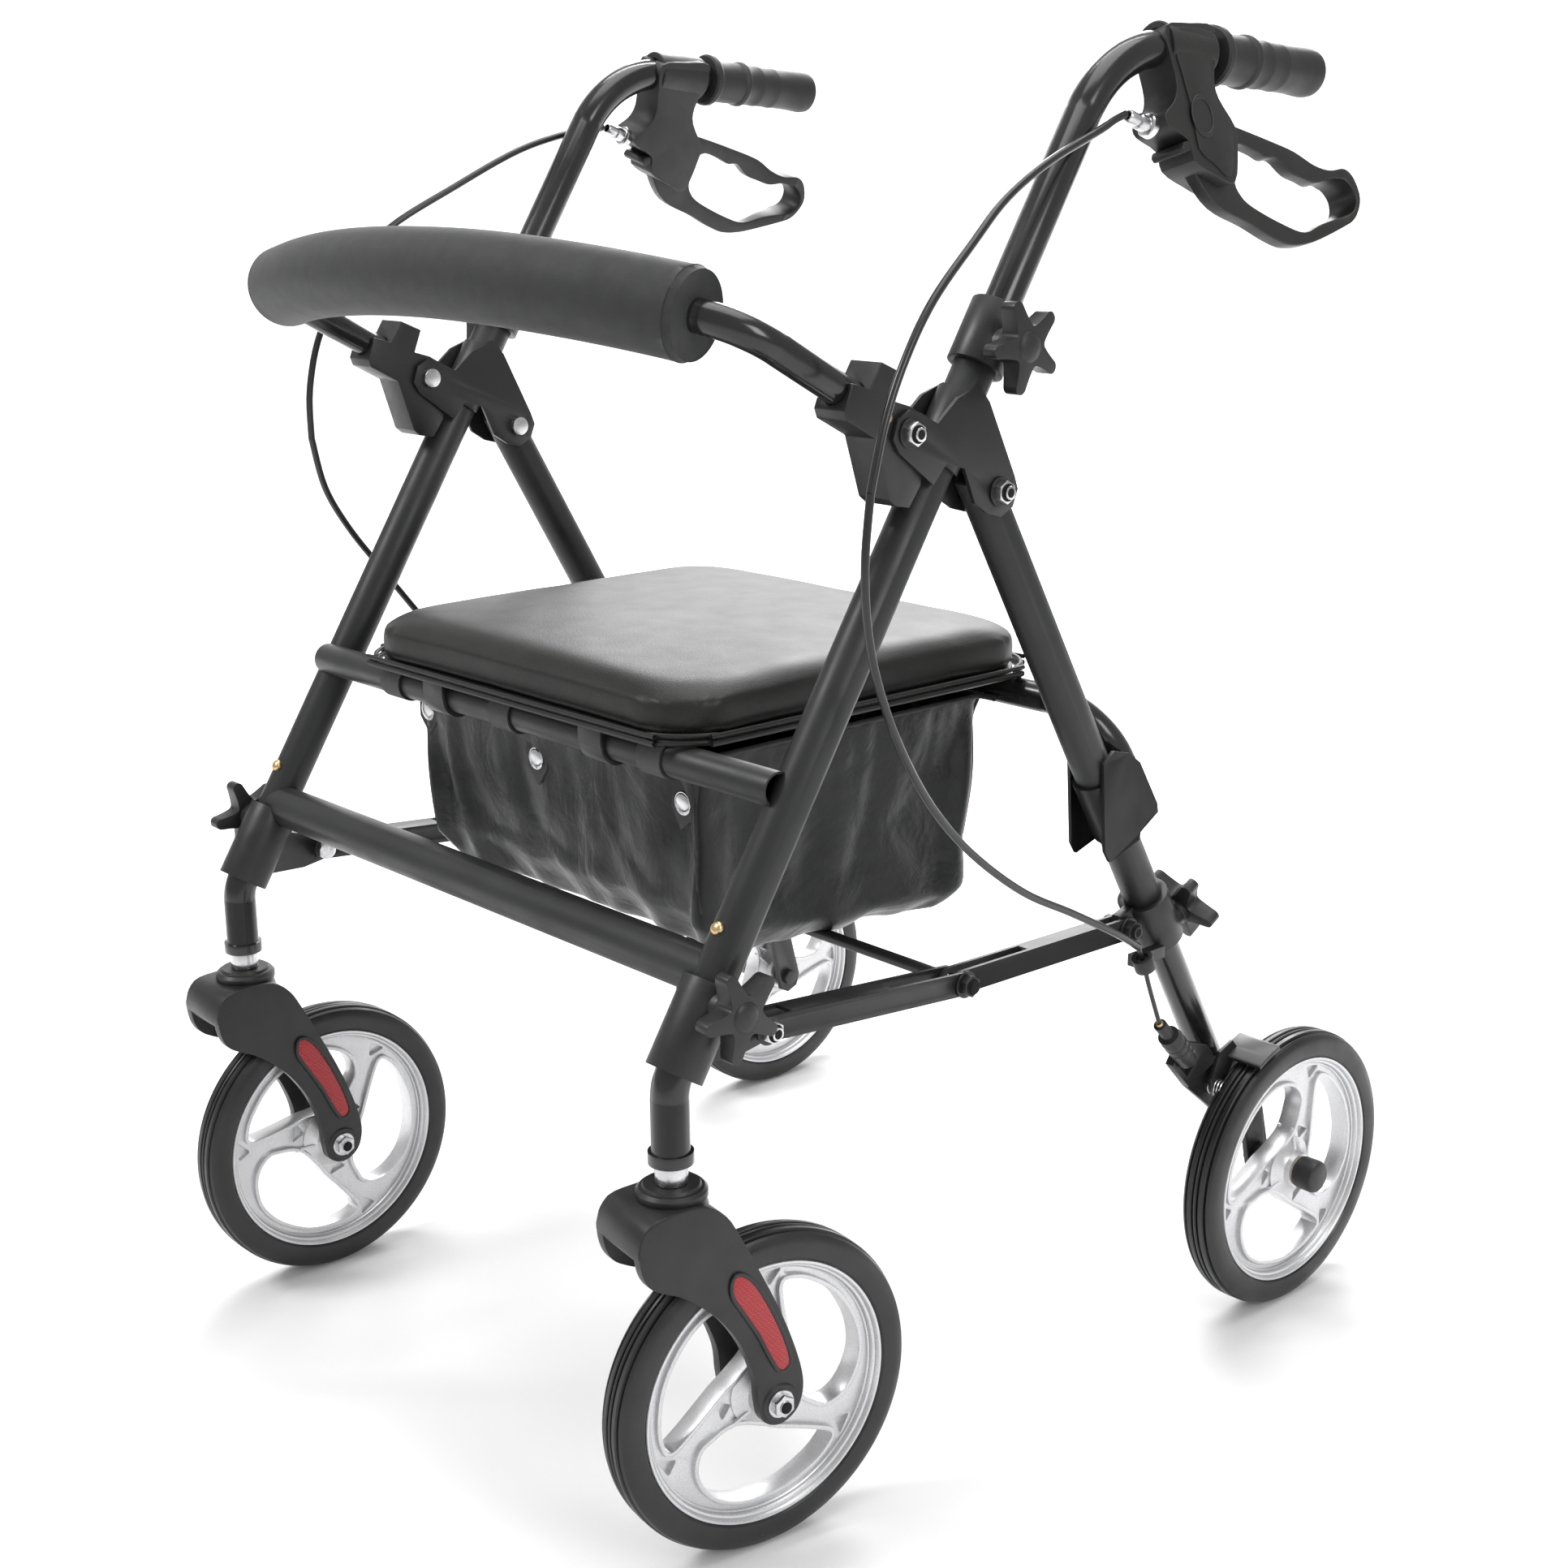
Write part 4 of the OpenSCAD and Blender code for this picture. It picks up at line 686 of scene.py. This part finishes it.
def handles():
    for name, side in SIDES:
        body = name + "_handle"
        placed(name + "_grip_piece", lathe(GRIP, 56), "rubber", body, ON_GRIP, side, name + "_grip", 30)
        shell = [plate(smooth_loop(HOUSING, 3), HALF_TRACK - 13, HALF_TRACK + 13, (), 1.6, 3)]
        shell.append(plate(smooth_loop([(100, 860), (136, 860), (133, 846), (127, 833), (128, 818), (139, 802), (130, 773),
                                        (117, 780), (104, 790), (104, 812), (101, 832)], 3),
                           HALF_TRACK + 12, HALF_TRACK + 14.4, (), 0.9, 2))
        badge = lathe([(9.6, 0), (12.4, 0), (12.4, 0.6), (11.6, 1.1), (10.4, 1.1), (9.6, 0.6)], 48, True)
        shell.append((badge, shift(HALF_TRACK + 14.1, 112.5, 809) @ turn(90, "Y") @ Matrix.Diagonal((1.05, 0.86, 1, 1))))
        collar = lathe([(11.15, 0), (14.6, 0), (15.4, 0.8), (15.4, 42), (14.6, 43), (11.15, 43)], 56, True)
        for y, z in ((92, 788), (89, 800)):
            rib = plate(smooth_loop([(y, z), (y + 16, z + 3), (y + 16, z + 8), (y, z + 6)], 2), HALF_TRACK - 12, HALF_TRACK + 12.6, (), 0.8, 2)
            shell.append(rib)
        placed(name + "_housing_piece", joined(*shell), "shell", body, BRAKE_PLANE, side, name + "_brake_housing", 30)
        placed(name + "_clamp", collar, "shell", body, ON_GRIP @ shift(0, 0, -49), side)
        nut = lathe([(3.6, 0), (6.6, 0), (7.0, 0.6), (7.0, 4.6), (6.4, 5.2), (5.0, 5.6), (5.0, 12), (4.3, 12.8), (3.9, 13),
                     (3.9, 20), (3.2, 21.2), (2.6, 21.2)], 40)
        placed(name + "_barrel", nut, "zinc", body,
               BRAKE_PLANE @ shift(HALF_TRACK, 81, 806) @ turn(70, "X"), side)
        wide = lambda y, z: 1 + 1.45 * min(1, max(0, (y - 214) / 34)) ** 1.5
        lever = joined(plate(smooth_loop(LEVER, 4), HALF_TRACK - 4.5, HALF_TRACK + 4.5, [smooth_loop(FINGERS, 4)], 1.3, 3, wide),
                       (lathe([(0.1, -5.2), (8, -5.2), (9, -4.4), (9, 4.4), (8, 5.2), (0.1, 5.2)], 40),
                        shift(HALF_TRACK, 111, 808) @ turn(90, "Y")))
        placed(name + "_lever_piece", lever, "shell", name + "_lever", BRAKE_PLANE, side, name + "_brake_lever", 32)


# ------------------------------------------------------------ brake cables, in three stretches
END = (258, 111.5, 236)
HEAD = [(248.9, 58, 815.4), (250.8, 46, 812)]
ROUTES = {
    "left": HEAD + [(253.5, 30, 806), (259, -19, 789), (266, -61, 770), (273, -95, 747), (279, -131, 719), (283, -155, 691),
                    (285, -172, 660), (286, -184, 622), (286, -188, 585), (285, -185, 550), (284, -176, 517),
                    (282, -157, 478), (278, -128, 438), (274, -90, 401), (270, -40, 365), (266, 10, 339), (263, 58, 313),
                    (260, 84, 297), (259, 91.5, 284), (258, 99, 266), END],
    "right": HEAD + [(254, 30, 811), (259.5, -12, 799), (266, -65, 774), (274, -117, 746), (281, -147, 715),
                     (287, -169, 676), (291, -178, 637), (293, -178, 602), (294, -169, 566), (293, -152, 535),
                     (290, -128, 502), (286, -98, 462), (280, -66, 420), (273, -30, 378), (267, 12, 343), (263, 58, 313),
                     (260, 84, 297), (259, 91.5, 284), (258, 99, 266), END],
}


def cables():
    for name, side in SIDES:
        route = ROUTES[name]
        guide = len(route) - 3
        parts = (("upper", route[:10], name + "_handle", "front_frame", route[1], route[9]),
                 ("middle", route[9:guide], "front_frame", "rear_frame", route[9], route[guide - 1]),
                 ("lower", route[guide - 1:], "rear_frame", name + "_rear_extension", route[guide], END))
        for tag, points, a, b, start, end in parts:
            bm = strand(points, 2.45 if tag != "lower" else 1.6, 14, per=6)
            made = placed(f"{name}_cable_{tag}", bm, "sheath", None, None, side,
                          name + "_brake_cable" if tag == "upper" else (), 60)
            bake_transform(made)


# ------------------------------------------------------------ soft pieces
def simulate(made, pressure, frames, cap, gravity=0.0, pinned=None, shrink=0.0, stiffness=15.0):
    """Runs a short cloth simulation on a piece and keeps its result, moved no further than cap from where it was."""
    scene = bpy.context.scene
    start = [v.co.copy() for v in made.data.vertices]
    mod = made.modifiers.new("cloth", "CLOTH")
    s = mod.settings
    s.quality = 6
    s.mass = 0.25
    s.tension_stiffness = s.compression_stiffness = stiffness
    s.shear_stiffness = 5
    s.bending_stiffness = 0.6
    s.use_pressure = pressure != 0
    s.uniform_pressure_force = pressure
    s.effector_weights.gravity = gravity
    s.shrink_min = shrink
    mod.collision_settings.use_collision = False
    if pinned:
        group = made.vertex_groups.new(name="held")
        group.add([i for i, p in enumerate(start) if pinned(p)], 1.0, "REPLACE")
        s.vertex_group_mass = "held"
    mod.point_cache.frame_start, mod.point_cache.frame_end = 1, frames
    for f in range(1, frames + 1):
        scene.frame_set(f)
    dg = bpy.context.evaluated_depsgraph_get()
    baked = made.evaluated_get(dg).to_mesh()
    moved = [v.co.copy() for v in baked.vertices]
    made.evaluated_get(dg).to_mesh_clear()
    made.modifiers.clear()
    made.vertex_groups.clear()
    scene.frame_set(1)
    for v, a, b in zip(made.data.vertices, start, moved):
        d = b - a
        v.co = a + (d if d.length < cap else d * (cap / d.length))
    made.data.update()


def remeshed(made, voxel):
    mod = made.modifiers.new("remesh", "REMESH")
    mod.mode = "VOXEL"
    mod.voxel_size = voxel
    dg = bpy.context.evaluated_depsgraph_get()
    mesh = bpy.data.meshes.new_from_object(made.evaluated_get(dg))
    made.modifiers.clear()
    made.data = mesh
    mesh.shade_smooth()


def rounded_rect(w, l, r, y, z, steps=8):
    out = []
    for cx, cy, start in ((1, -1, -90), (1, 1, 0), (-1, 1, 90), (-1, -1, 180)):
        for k in range(steps + 1):
            a = rad(start + 90 * k / steps)
            out.append((cx * (w / 2 - r) + r * math.cos(a), y + cy * (l / 2 - r) + r * math.sin(a), z))
    return out


def even(made, chosen, times):
    """Evens out the chosen part of a surface."""
    bm = bmesh.new()
    bm.from_mesh(made.data)
    picked = [v for v in bm.verts if chosen(v.co)]
    for _ in range(times):
        bmesh.ops.smooth_vert(bm, verts=picked, factor=0.5, use_axis_x=True, use_axis_y=True, use_axis_z=True)
    bm.to_mesh(made.data)
    bm.free()


def subdivided(made, levels=1):
    mod = made.modifiers.new("subdivision", "SUBSURF")
    mod.levels = mod.render_levels = levels
    return made


def cushion():
    bm = bmesh.new()
    for z, inset in ((469, 3.0), (495.5, 3.0)):
        loop = [bm.verts.new(p) for p in rounded_rect(SEAT_W - 2 * inset, SEAT_L - 2 * inset, SEAT_R - inset, SEAT_MID_Y, z)]
        bm.faces.new(loop)
    bm.edges.ensure_lookup_table()
    bmesh.ops.bridge_loops(bm, edges=bm.edges)
    bmesh.ops.recalc_face_normals(bm, faces=bm.faces)
    edges = [e for e in bm.edges if e.calc_face_angle(0) > rad(60)]
    bmesh.ops.bevel(bm, geom=edges, offset=7, affect="EDGES", segments=4, profile=0.5, material=-1, clamp_overlap=True)
    pad = placed("seat_pad", bm, "leather", "seat", stands_for="seat_cushion", smooth_angle=180)
    remeshed(pad, 0.0045)
    pad.data.materials.clear()
    pad.data.materials.append(LOOK["leather"])
    simulate(pad, 4.0, 16, 0.005)
    mid = Vector((0, SEAT_MID_Y * MM, 0))
    half_w, half_l = SEAT_W / 2 * MM, SEAT_L / 2 * MM
    for v in pad.data.vertices:
        p = v.co
        u, w = abs(p.x) / half_w, abs(p.y - mid.y) / half_l
        top = p.z > 0.492
        crown = max(0.0, 1 - u * u) * max(0.0, 1 - w * w)
        if p.z > 0.48:
            p.z += 0.0035 * crown
        corner = max(0.0, u + w - 1.55) / 0.4
        wall = min(1.0, max(0.0, (0.500 - p.z) / 0.012)) * min(1.0, max(0.0, (p.z - 0.470) / 0.006))
        ripple = noise.noise(Vector((p.x * 95, p.y * 95, p.z * 22))) * 0.0011 * min(1.0, corner) * wall
        slow = noise.noise(Vector((p.x * 9, p.y * 9, p.z * 8 + 3))) * 0.0005
        outward = Vector((p.x, p.y - mid.y, 0)).normalized()
        p += outward * ripple + Vector((0, 0, slow if top else 0))
        p.z = max(p.z, 0.4665)
        if p.z < 0.4735:
            p += outward * (p.z - 0.4735) * 0.6
    even(pad, lambda p: p.z > 0.4925, 14)
    subdivided(pad)
    for k, (z, grow, r) in enumerate(((468.4, 1.2, 2.0), (472.6, 1.9, 1.5))):
        welt = strand([Vector(p) for p in rounded_rect(SEAT_W - 4 + grow, SEAT_L - 4 + grow, SEAT_R, SEAT_MID_Y, z, 5)],
                      r, 10, True, 3)
        placed(f"seat_welt_{k}", welt, "leather", "seat", smooth_angle=60)


BAG_TOP, BAG_FRONT, BAG_REAR, BAG_HALF = 451.0, -193.4, 52.0, 149.0
BAG_FLOOR = [(-194, 349), (-170, 334), (-148, 329), (-80, 321), (-34, 317), (20, 313), (48, 313), (60, 321)]


def floor_z(y):
    for (y0, z0), (y1, z1) in zip(BAG_FLOOR, BAG_FLOOR[1:]):
        if y <= y1:
            return z0 + (z1 - z0) * (y - y0) / (y1 - y0)
    return BAG_FLOOR[-1][1]


def bag():
    bm = bmesh.new()
    bmesh.ops.create_cube(bm, size=2)
    bmesh.ops.delete(bm, geom=[f for f in bm.faces if f.normal.z > 0.5], context="FACES_ONLY")
    bmesh.ops.subdivide_edges(bm, edges=list(bm.edges), cuts=38, use_grid_fill=True)
    for v in bm.verts:
        x, y, z = v.co
        deep = (1 - z) / 2
        rear = BAG_REAR + 8 * deep
        py = BAG_FRONT + (rear - BAG_FRONT) * (y + 1) / 2
        pz = BAG_TOP + (floor_z(py) - BAG_TOP) * deep
        px = x * (BAG_HALF - 2.5 * (1 - deep))
        v.co = (px, py, pz)
    held = [v for v in bm.verts if v.co.z > BAG_TOP - 1]
    free = [v for v in bm.verts if v.co.z <= BAG_TOP - 1]
    for _ in range(6):
        bmesh.ops.smooth_vert(bm, verts=free, factor=0.5, use_axis_x=True, use_axis_y=True, use_axis_z=True)
    for v in free:
        p = v.co
        slant = 0.026 * (p.x + p.y + 0.9 * p.z)
        drape = noise.noise(Vector((slant, 0.011 * (p.x - p.y), 0.012 * p.z)))
        v.co += v.normal * 4.5 * drape * min(1, (BAG_TOP - p.z) / 30)
    bmesh.ops.recalc_face_normals(bm, faces=bm.faces)
    made = placed("bag_shell", bm, "cloth", "front_frame", stands_for="bag", smooth_angle=180)
    simulate(made, 1.4, 22, 0.012, gravity=0.3, pinned=lambda p: p.z > (BAG_TOP - 1) * MM, shrink=-0.018, stiffness=12)
    surface = BVHTree.FromPolygons([v.co.copy() for v in made.data.vertices], [tuple(p.vertices) for p in made.data.polygons])
    wall = made.modifiers.new("wall", "SOLIDIFY")
    wall.thickness = 0.0012
    wall.offset = -1
    subdivided(made)
    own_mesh(made)

    def skin(x, y, z, lift=0.6):
        spot, normal, _, _ = surface.find_nearest(Vector((x, y, z)) * MM)
        return (spot + normal * lift * MM) / MM

    seams = []
    for x in (-1, 1):
        for y in (BAG_FRONT, BAG_REAR + 6):
            seams.append([skin(x * BAG_HALF, y, BAG_TOP - 2 - 12 * k) for k in range(9)])
    for k, path in enumerate(seams):
        made = placed(f"bag_piping_{k}", strand(path, 1.5, 8), "webbing", "front_frame", smooth_angle=60)
        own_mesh(made)
    hem = strand([Vector(p) for p in rounded_rect(2 * BAG_HALF - 6, BAG_REAR - BAG_FRONT, 8, (BAG_REAR + BAG_FRONT) / 2, BAG_TOP - 0.5, 3)],
                 1.8, 8, True, 3)
    made = placed("bag_hem", hem, "webbing", "front_frame", smooth_angle=60)
    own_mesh(made)
    for k, (x, low, lean) in enumerate(((-139, 414, 0), (-14, 404, 3), (137, 404, -10))):
        top = SEAT_BAR_Z - 4
        tip = plate([(-11, top), (11, top), (11, low + 12), (0, low), (-11, low + 12)], -0.7, 0.7, (), 0.4, 1)
        face = skin(x, BAG_FRONT - 5, 424, 1.0)
        upright = shift(x, face.y, 0) @ turn(-90, "Z")
        swing = shift(0, 0, 440) @ turn(lean, "X") @ shift(0, 0, -440)
        placed(f"strap_{k}", tip, "webbing", "front_frame", upright @ swing, smooth_angle=30)
        wrap = lathe([(SEAT_BAR_R + 0.3, -11), (SEAT_BAR_R + 1.7, -11), (SEAT_BAR_R + 1.7, 11), (SEAT_BAR_R + 0.3, 11)], 40, True)
        placed(f"strap_loop_{k}", wrap, "webbing", "front_frame", shift(x, SEAT_BAR_Y, SEAT_BAR_Z) @ ALONG_X)
        stud = joined(dome(6.6, 1.5, 1.0), (washer(7.4, 5.6, 1.0), Matrix()))
        placed(f"snap_{k}", stud, "zinc", "front_frame",
               shift(x, 0, 0) @ swing_about_y(lean, 440) @ shift(0, face.y - 0.7, low + 18) @ turn(90, "X"))


def swing_about_y(lean, z):
    return shift(0, 0, z) @ turn(-lean, "Y") @ shift(0, 0, -z)


REST_ARM, REST_CORNER_R, REST_CORNER = 96.0, 38.0, 71.0
REST_BIG_R = (HALF_TRACK - REST_CORNER_R * (1 - math.cos(rad(REST_CORNER)))) / math.cos(rad(REST_CORNER))
REST_BIG_Y = REST_ARM + (REST_CORNER_R - REST_BIG_R) * math.sin(rad(REST_CORNER))


def back_rest():
    bm = bmesh.new()
    trim = 0.6
    sweep = rad(180 - 2 * (REST_CORNER + trim))
    start = rad(REST_CORNER + trim)
    at = Matrix.Translation((0, REST_BIG_Y, 0)) @ Matrix.Rotation(start, 4, "Z") @ Matrix.Translation((REST_BIG_R, 0, 0)) @ turn(90, "X")
    ring = bmesh.ops.create_circle(bm, cap_ends=False, segments=48, radius=26, matrix=at)
    geom = ring["verts"] + list(bm.edges)
    out = bmesh.ops.spin(bm, geom=geom, cent=(0, REST_BIG_Y, 0), axis=(0, 0, 1), dvec=(0, 0, 0), angle=sweep, steps=90)
    for ends in (ring["verts"], [g for g in out["geom_last"] if isinstance(g, bmesh.types.BMVert)]):
        face = bm.faces.new(ends)
        inner = bmesh.ops.inset_region(bm, faces=[face], thickness=14.0, depth=0)
        bmesh.ops.inset_region(bm, faces=[face], thickness=1.5, depth=-5.0)
    bmesh.ops.recalc_face_normals(bm, faces=bm.faces)
    edges = [e for e in bm.edges if len(e.link_faces) == 2 and e.calc_face_angle(0) > rad(60)]
    bmesh.ops.bevel(bm, geom=edges, offset=2.2, affect="EDGES", segments=3, profile=0.5, material=-1, clamp_overlap=True)
    pad = placed("back_rest_pad", bm, "foam", "backrest", REST_PLANE, stands_for="backrest_foam", smooth_angle=40)
    for v in pad.data.vertices:
        v.co += v.normal * 0.0004 * noise.noise(v.co * 9)


# ------------------------------------------------------------ small fittings
def fittings():
    out = 15.25
    for name, side in SIDES:
        for tag, y, z, x, body in (("fold", FOLD_Y, FOLD_Z, out, "front_frame"), ("rest", -122, 645.5, out, "front_frame"),
                                   ("lug", -226, 320, 9.5, "front_frame"), ("link", 92, 303, 6.7, "rear_frame"),
                                   ("middle", -65, 306, 9.12, "front_linkage")):
            placed(f"{name}_{tag}_washer", washer(8.6, 4.1, 1.5), "plate", body, shift(HALF_TRACK + x, y, z) @ ALONG_X, side)
            # painted shade: a near-black cap at each pivot bolt's end stands in for the shade in its hole
            placed(f"{name}_{tag}_insert", joined(washer(5.2, 4.1, 1.0), dome(4.15, 0.7, 2.2)), "hole_shade", body,
                   shift(HALF_TRACK + x + 6.3, y, z) @ ALONG_X, side)
        placed(f"{name}_leg_button", dome(4.1, 2.2, 1.2), "brass", "front_frame",
               on_front(378) @ shift(0, -LEG_R + 0.2, 0) @ turn(90, "X"), side)
        placed(f"{name}_socket_button", dome(3.6, 1.4, 0.8), "brass", "backrest",
               shift(HALF_TRACK + 12.2, -137, 655) @ ALONG_X, side)
        placed(f"{name}_hub_washer", washer(10.6, 6.1, 1.6), "brass", name + "_rear_wheel",
               shift(REAR_WHEEL_X + 15.4, REAR_AXLE_Y, AXLE_Z) @ ALONG_X, side)
        cap = lathe([(0.1, 0), (10.6, 0), (11.6, 1), (11.6, 11), (10.8, 13.4), (9, 14.4), (0.1, 14.4)], 48)
        placed(f"{name}_hub_cap", cap, "nylon", name + "_rear_extension",
               shift(REAR_WHEEL_X + 17.2, REAR_AXLE_Y, AXLE_Z) @ ALONG_X, side)
        boot = lathe([(0.1, 0), (6.2, 0), (7.6, 1.5), (6.3, 4), (7.9, 7), (6.5, 10), (8.1, 13), (6.6, 16), (8.2, 19),
                      (6.8, 22), (8.2, 25), (7.2, 29), (6.0, 31), (0.1, 31)], 40)
        seat = shift(*END) @ turn(43, "X")
        placed(f"{name}_boot", boot, "rubber", name + "_rear_extension", seat @ shift(0, 0, -46), side, (), 40)
        placed(f"{name}_crimp", lathe([(0.1, 0), (3.6, 0), (3.9, 1), (3.9, 9), (3.0, 11), (2.4, 14), (0.1, 14)], 32), "brass",
               name + "_rear_extension", seat @ shift(0, 0, -13), side)
        coil = [(5.6 * math.cos(k * 0.8), 5.6 * math.sin(k * 0.8), 0.31 * k) for k in range(40)]
        placed(f"{name}_return_spring", strand([Vector(p) for p in coil], 0.75, 8, per=2), "zinc", name + "_rear_extension",
               shift(HALF_TRACK + 16.2, 176, 172) @ ALONG_X, side)


# ------------------------------------------------------------ surroundings
def studio():
    bm = bmesh.new()
    size, rise = 9.0, 7.0
    profile = [(-size, 0), (5.0, 0)] + [(5.0 + 2.5 * math.sin(rad(a)), 2.5 - 2.5 * math.cos(rad(a))) for a in range(10, 91, 10)] + [(7.5, rise)]
    verts = [bm.verts.new((-size, y, z)) for y, z in profile]
    edges = [bm.edges.new(p) for p in zip(verts, verts[1:])]
    out = bmesh.ops.extrude_edge_only(bm, edges=edges)
    bmesh.ops.translate(bm, verts=[g for g in out["geom"] if isinstance(g, bmesh.types.BMVert)], vec=(2 * size, 0, 0))
    bmesh.ops.recalc_face_normals(bm, faces=bm.faces)
    bmesh.ops.rotate(bm, verts=bm.verts, cent=(0, 0, 0), matrix=Matrix.Rotation(rad(48), 3, "Z"))
    mesh = bpy.data.meshes.new("studio_floor")
    bm.to_mesh(mesh)
    bm.free()
    mesh.shade_smooth()
    floor = bpy.data.objects.new("studio_floor", mesh)
    bpy.context.scene.collection.objects.link(floor)
    f = Finish("pale_floor", (0.86, 0.86, 0.86), 0.9, specular=0.1)
    f.tones(f.noise(2, 3), (0.3, (0.855, 0.855, 0.855)), (0.7, (0.87, 0.87, 0.87)))
    mesh.materials.append(f.mat)

    world = bpy.data.worlds.new("studio")
    bpy.context.scene.world = world
    world.use_nodes = True
    back = world.node_tree.nodes["Background"]
    back.inputs["Color"].default_value = (1, 1, 1, 1)
    back.inputs["Strength"].default_value = 0.5
    bpy.context.scene.view_settings.view_transform = "Standard"

    def softbox(name, where, target, size, power, colour=(1, 1, 1)):
        lamp = bpy.data.lights.new(name, "AREA")
        lamp.shape = "RECTANGLE"
        lamp.size, lamp.size_y = size
        lamp.energy = power
        lamp.color = colour
        o = bpy.data.objects.new(name, lamp)
        o.location = where
        o.rotation_mode = "QUATERNION"
        o.rotation_quaternion = (Vector(target) - Vector(where)).to_track_quat("-Z", "Y")
        bpy.context.scene.collection.objects.link(o)

    softbox("key", (-1.2, -2.2, 2.9), (0, 0, 0.4), (0.9, 0.9), 48)
    softbox("fill", (3.0, -0.2, 2.0), (0, 0, 0.4), (1.0, 1.6), 30)
    softbox("back_light", (-1.8, 2.4, 2.2), (0, 0, 0.5), (2.2, 1.0), 70)
    softbox("floor_light", (0.3, 0.4, 5.0), (0, 0.2, 0), (3.5, 3.5), 110)
    softbox("wall_light", (-1.2, 1.4, 4.2), (-4.4, 4.6, 1.2), (3.0, 1.5), 420)


def camera():
    azimuth, elevation, roll = rad(48.116), rad(15.52), rad(-0.476)
    back = Vector((math.sin(azimuth) * math.cos(elevation), -math.cos(azimuth) * math.cos(elevation), math.sin(elevation)))
    level = Vector((math.cos(azimuth), math.sin(azimuth), 0))
    up = back.cross(level)
    right = level * math.cos(roll) + up * math.sin(roll)
    top = up * math.cos(roll) - level * math.sin(roll)
    data = bpy.data.cameras.new("camera")
    data.sensor_width = 36.0
    data.lens = 51.83
    data.clip_start, data.clip_end = 0.05, 60
    cam = bpy.data.objects.new("camera", data)
    cam.matrix_world = Matrix.Translation((1.136917, -1.009971, 0.792876)) @ Matrix((right, top, back)).transposed().to_4x4()
    bpy.context.scene.collection.objects.link(cam)
    bpy.context.scene.camera = cam


camera()
studio()
frame_pieces()
wheels()
casters()
handles()
cables()
cushion()
bag()
back_rest()
fittings()
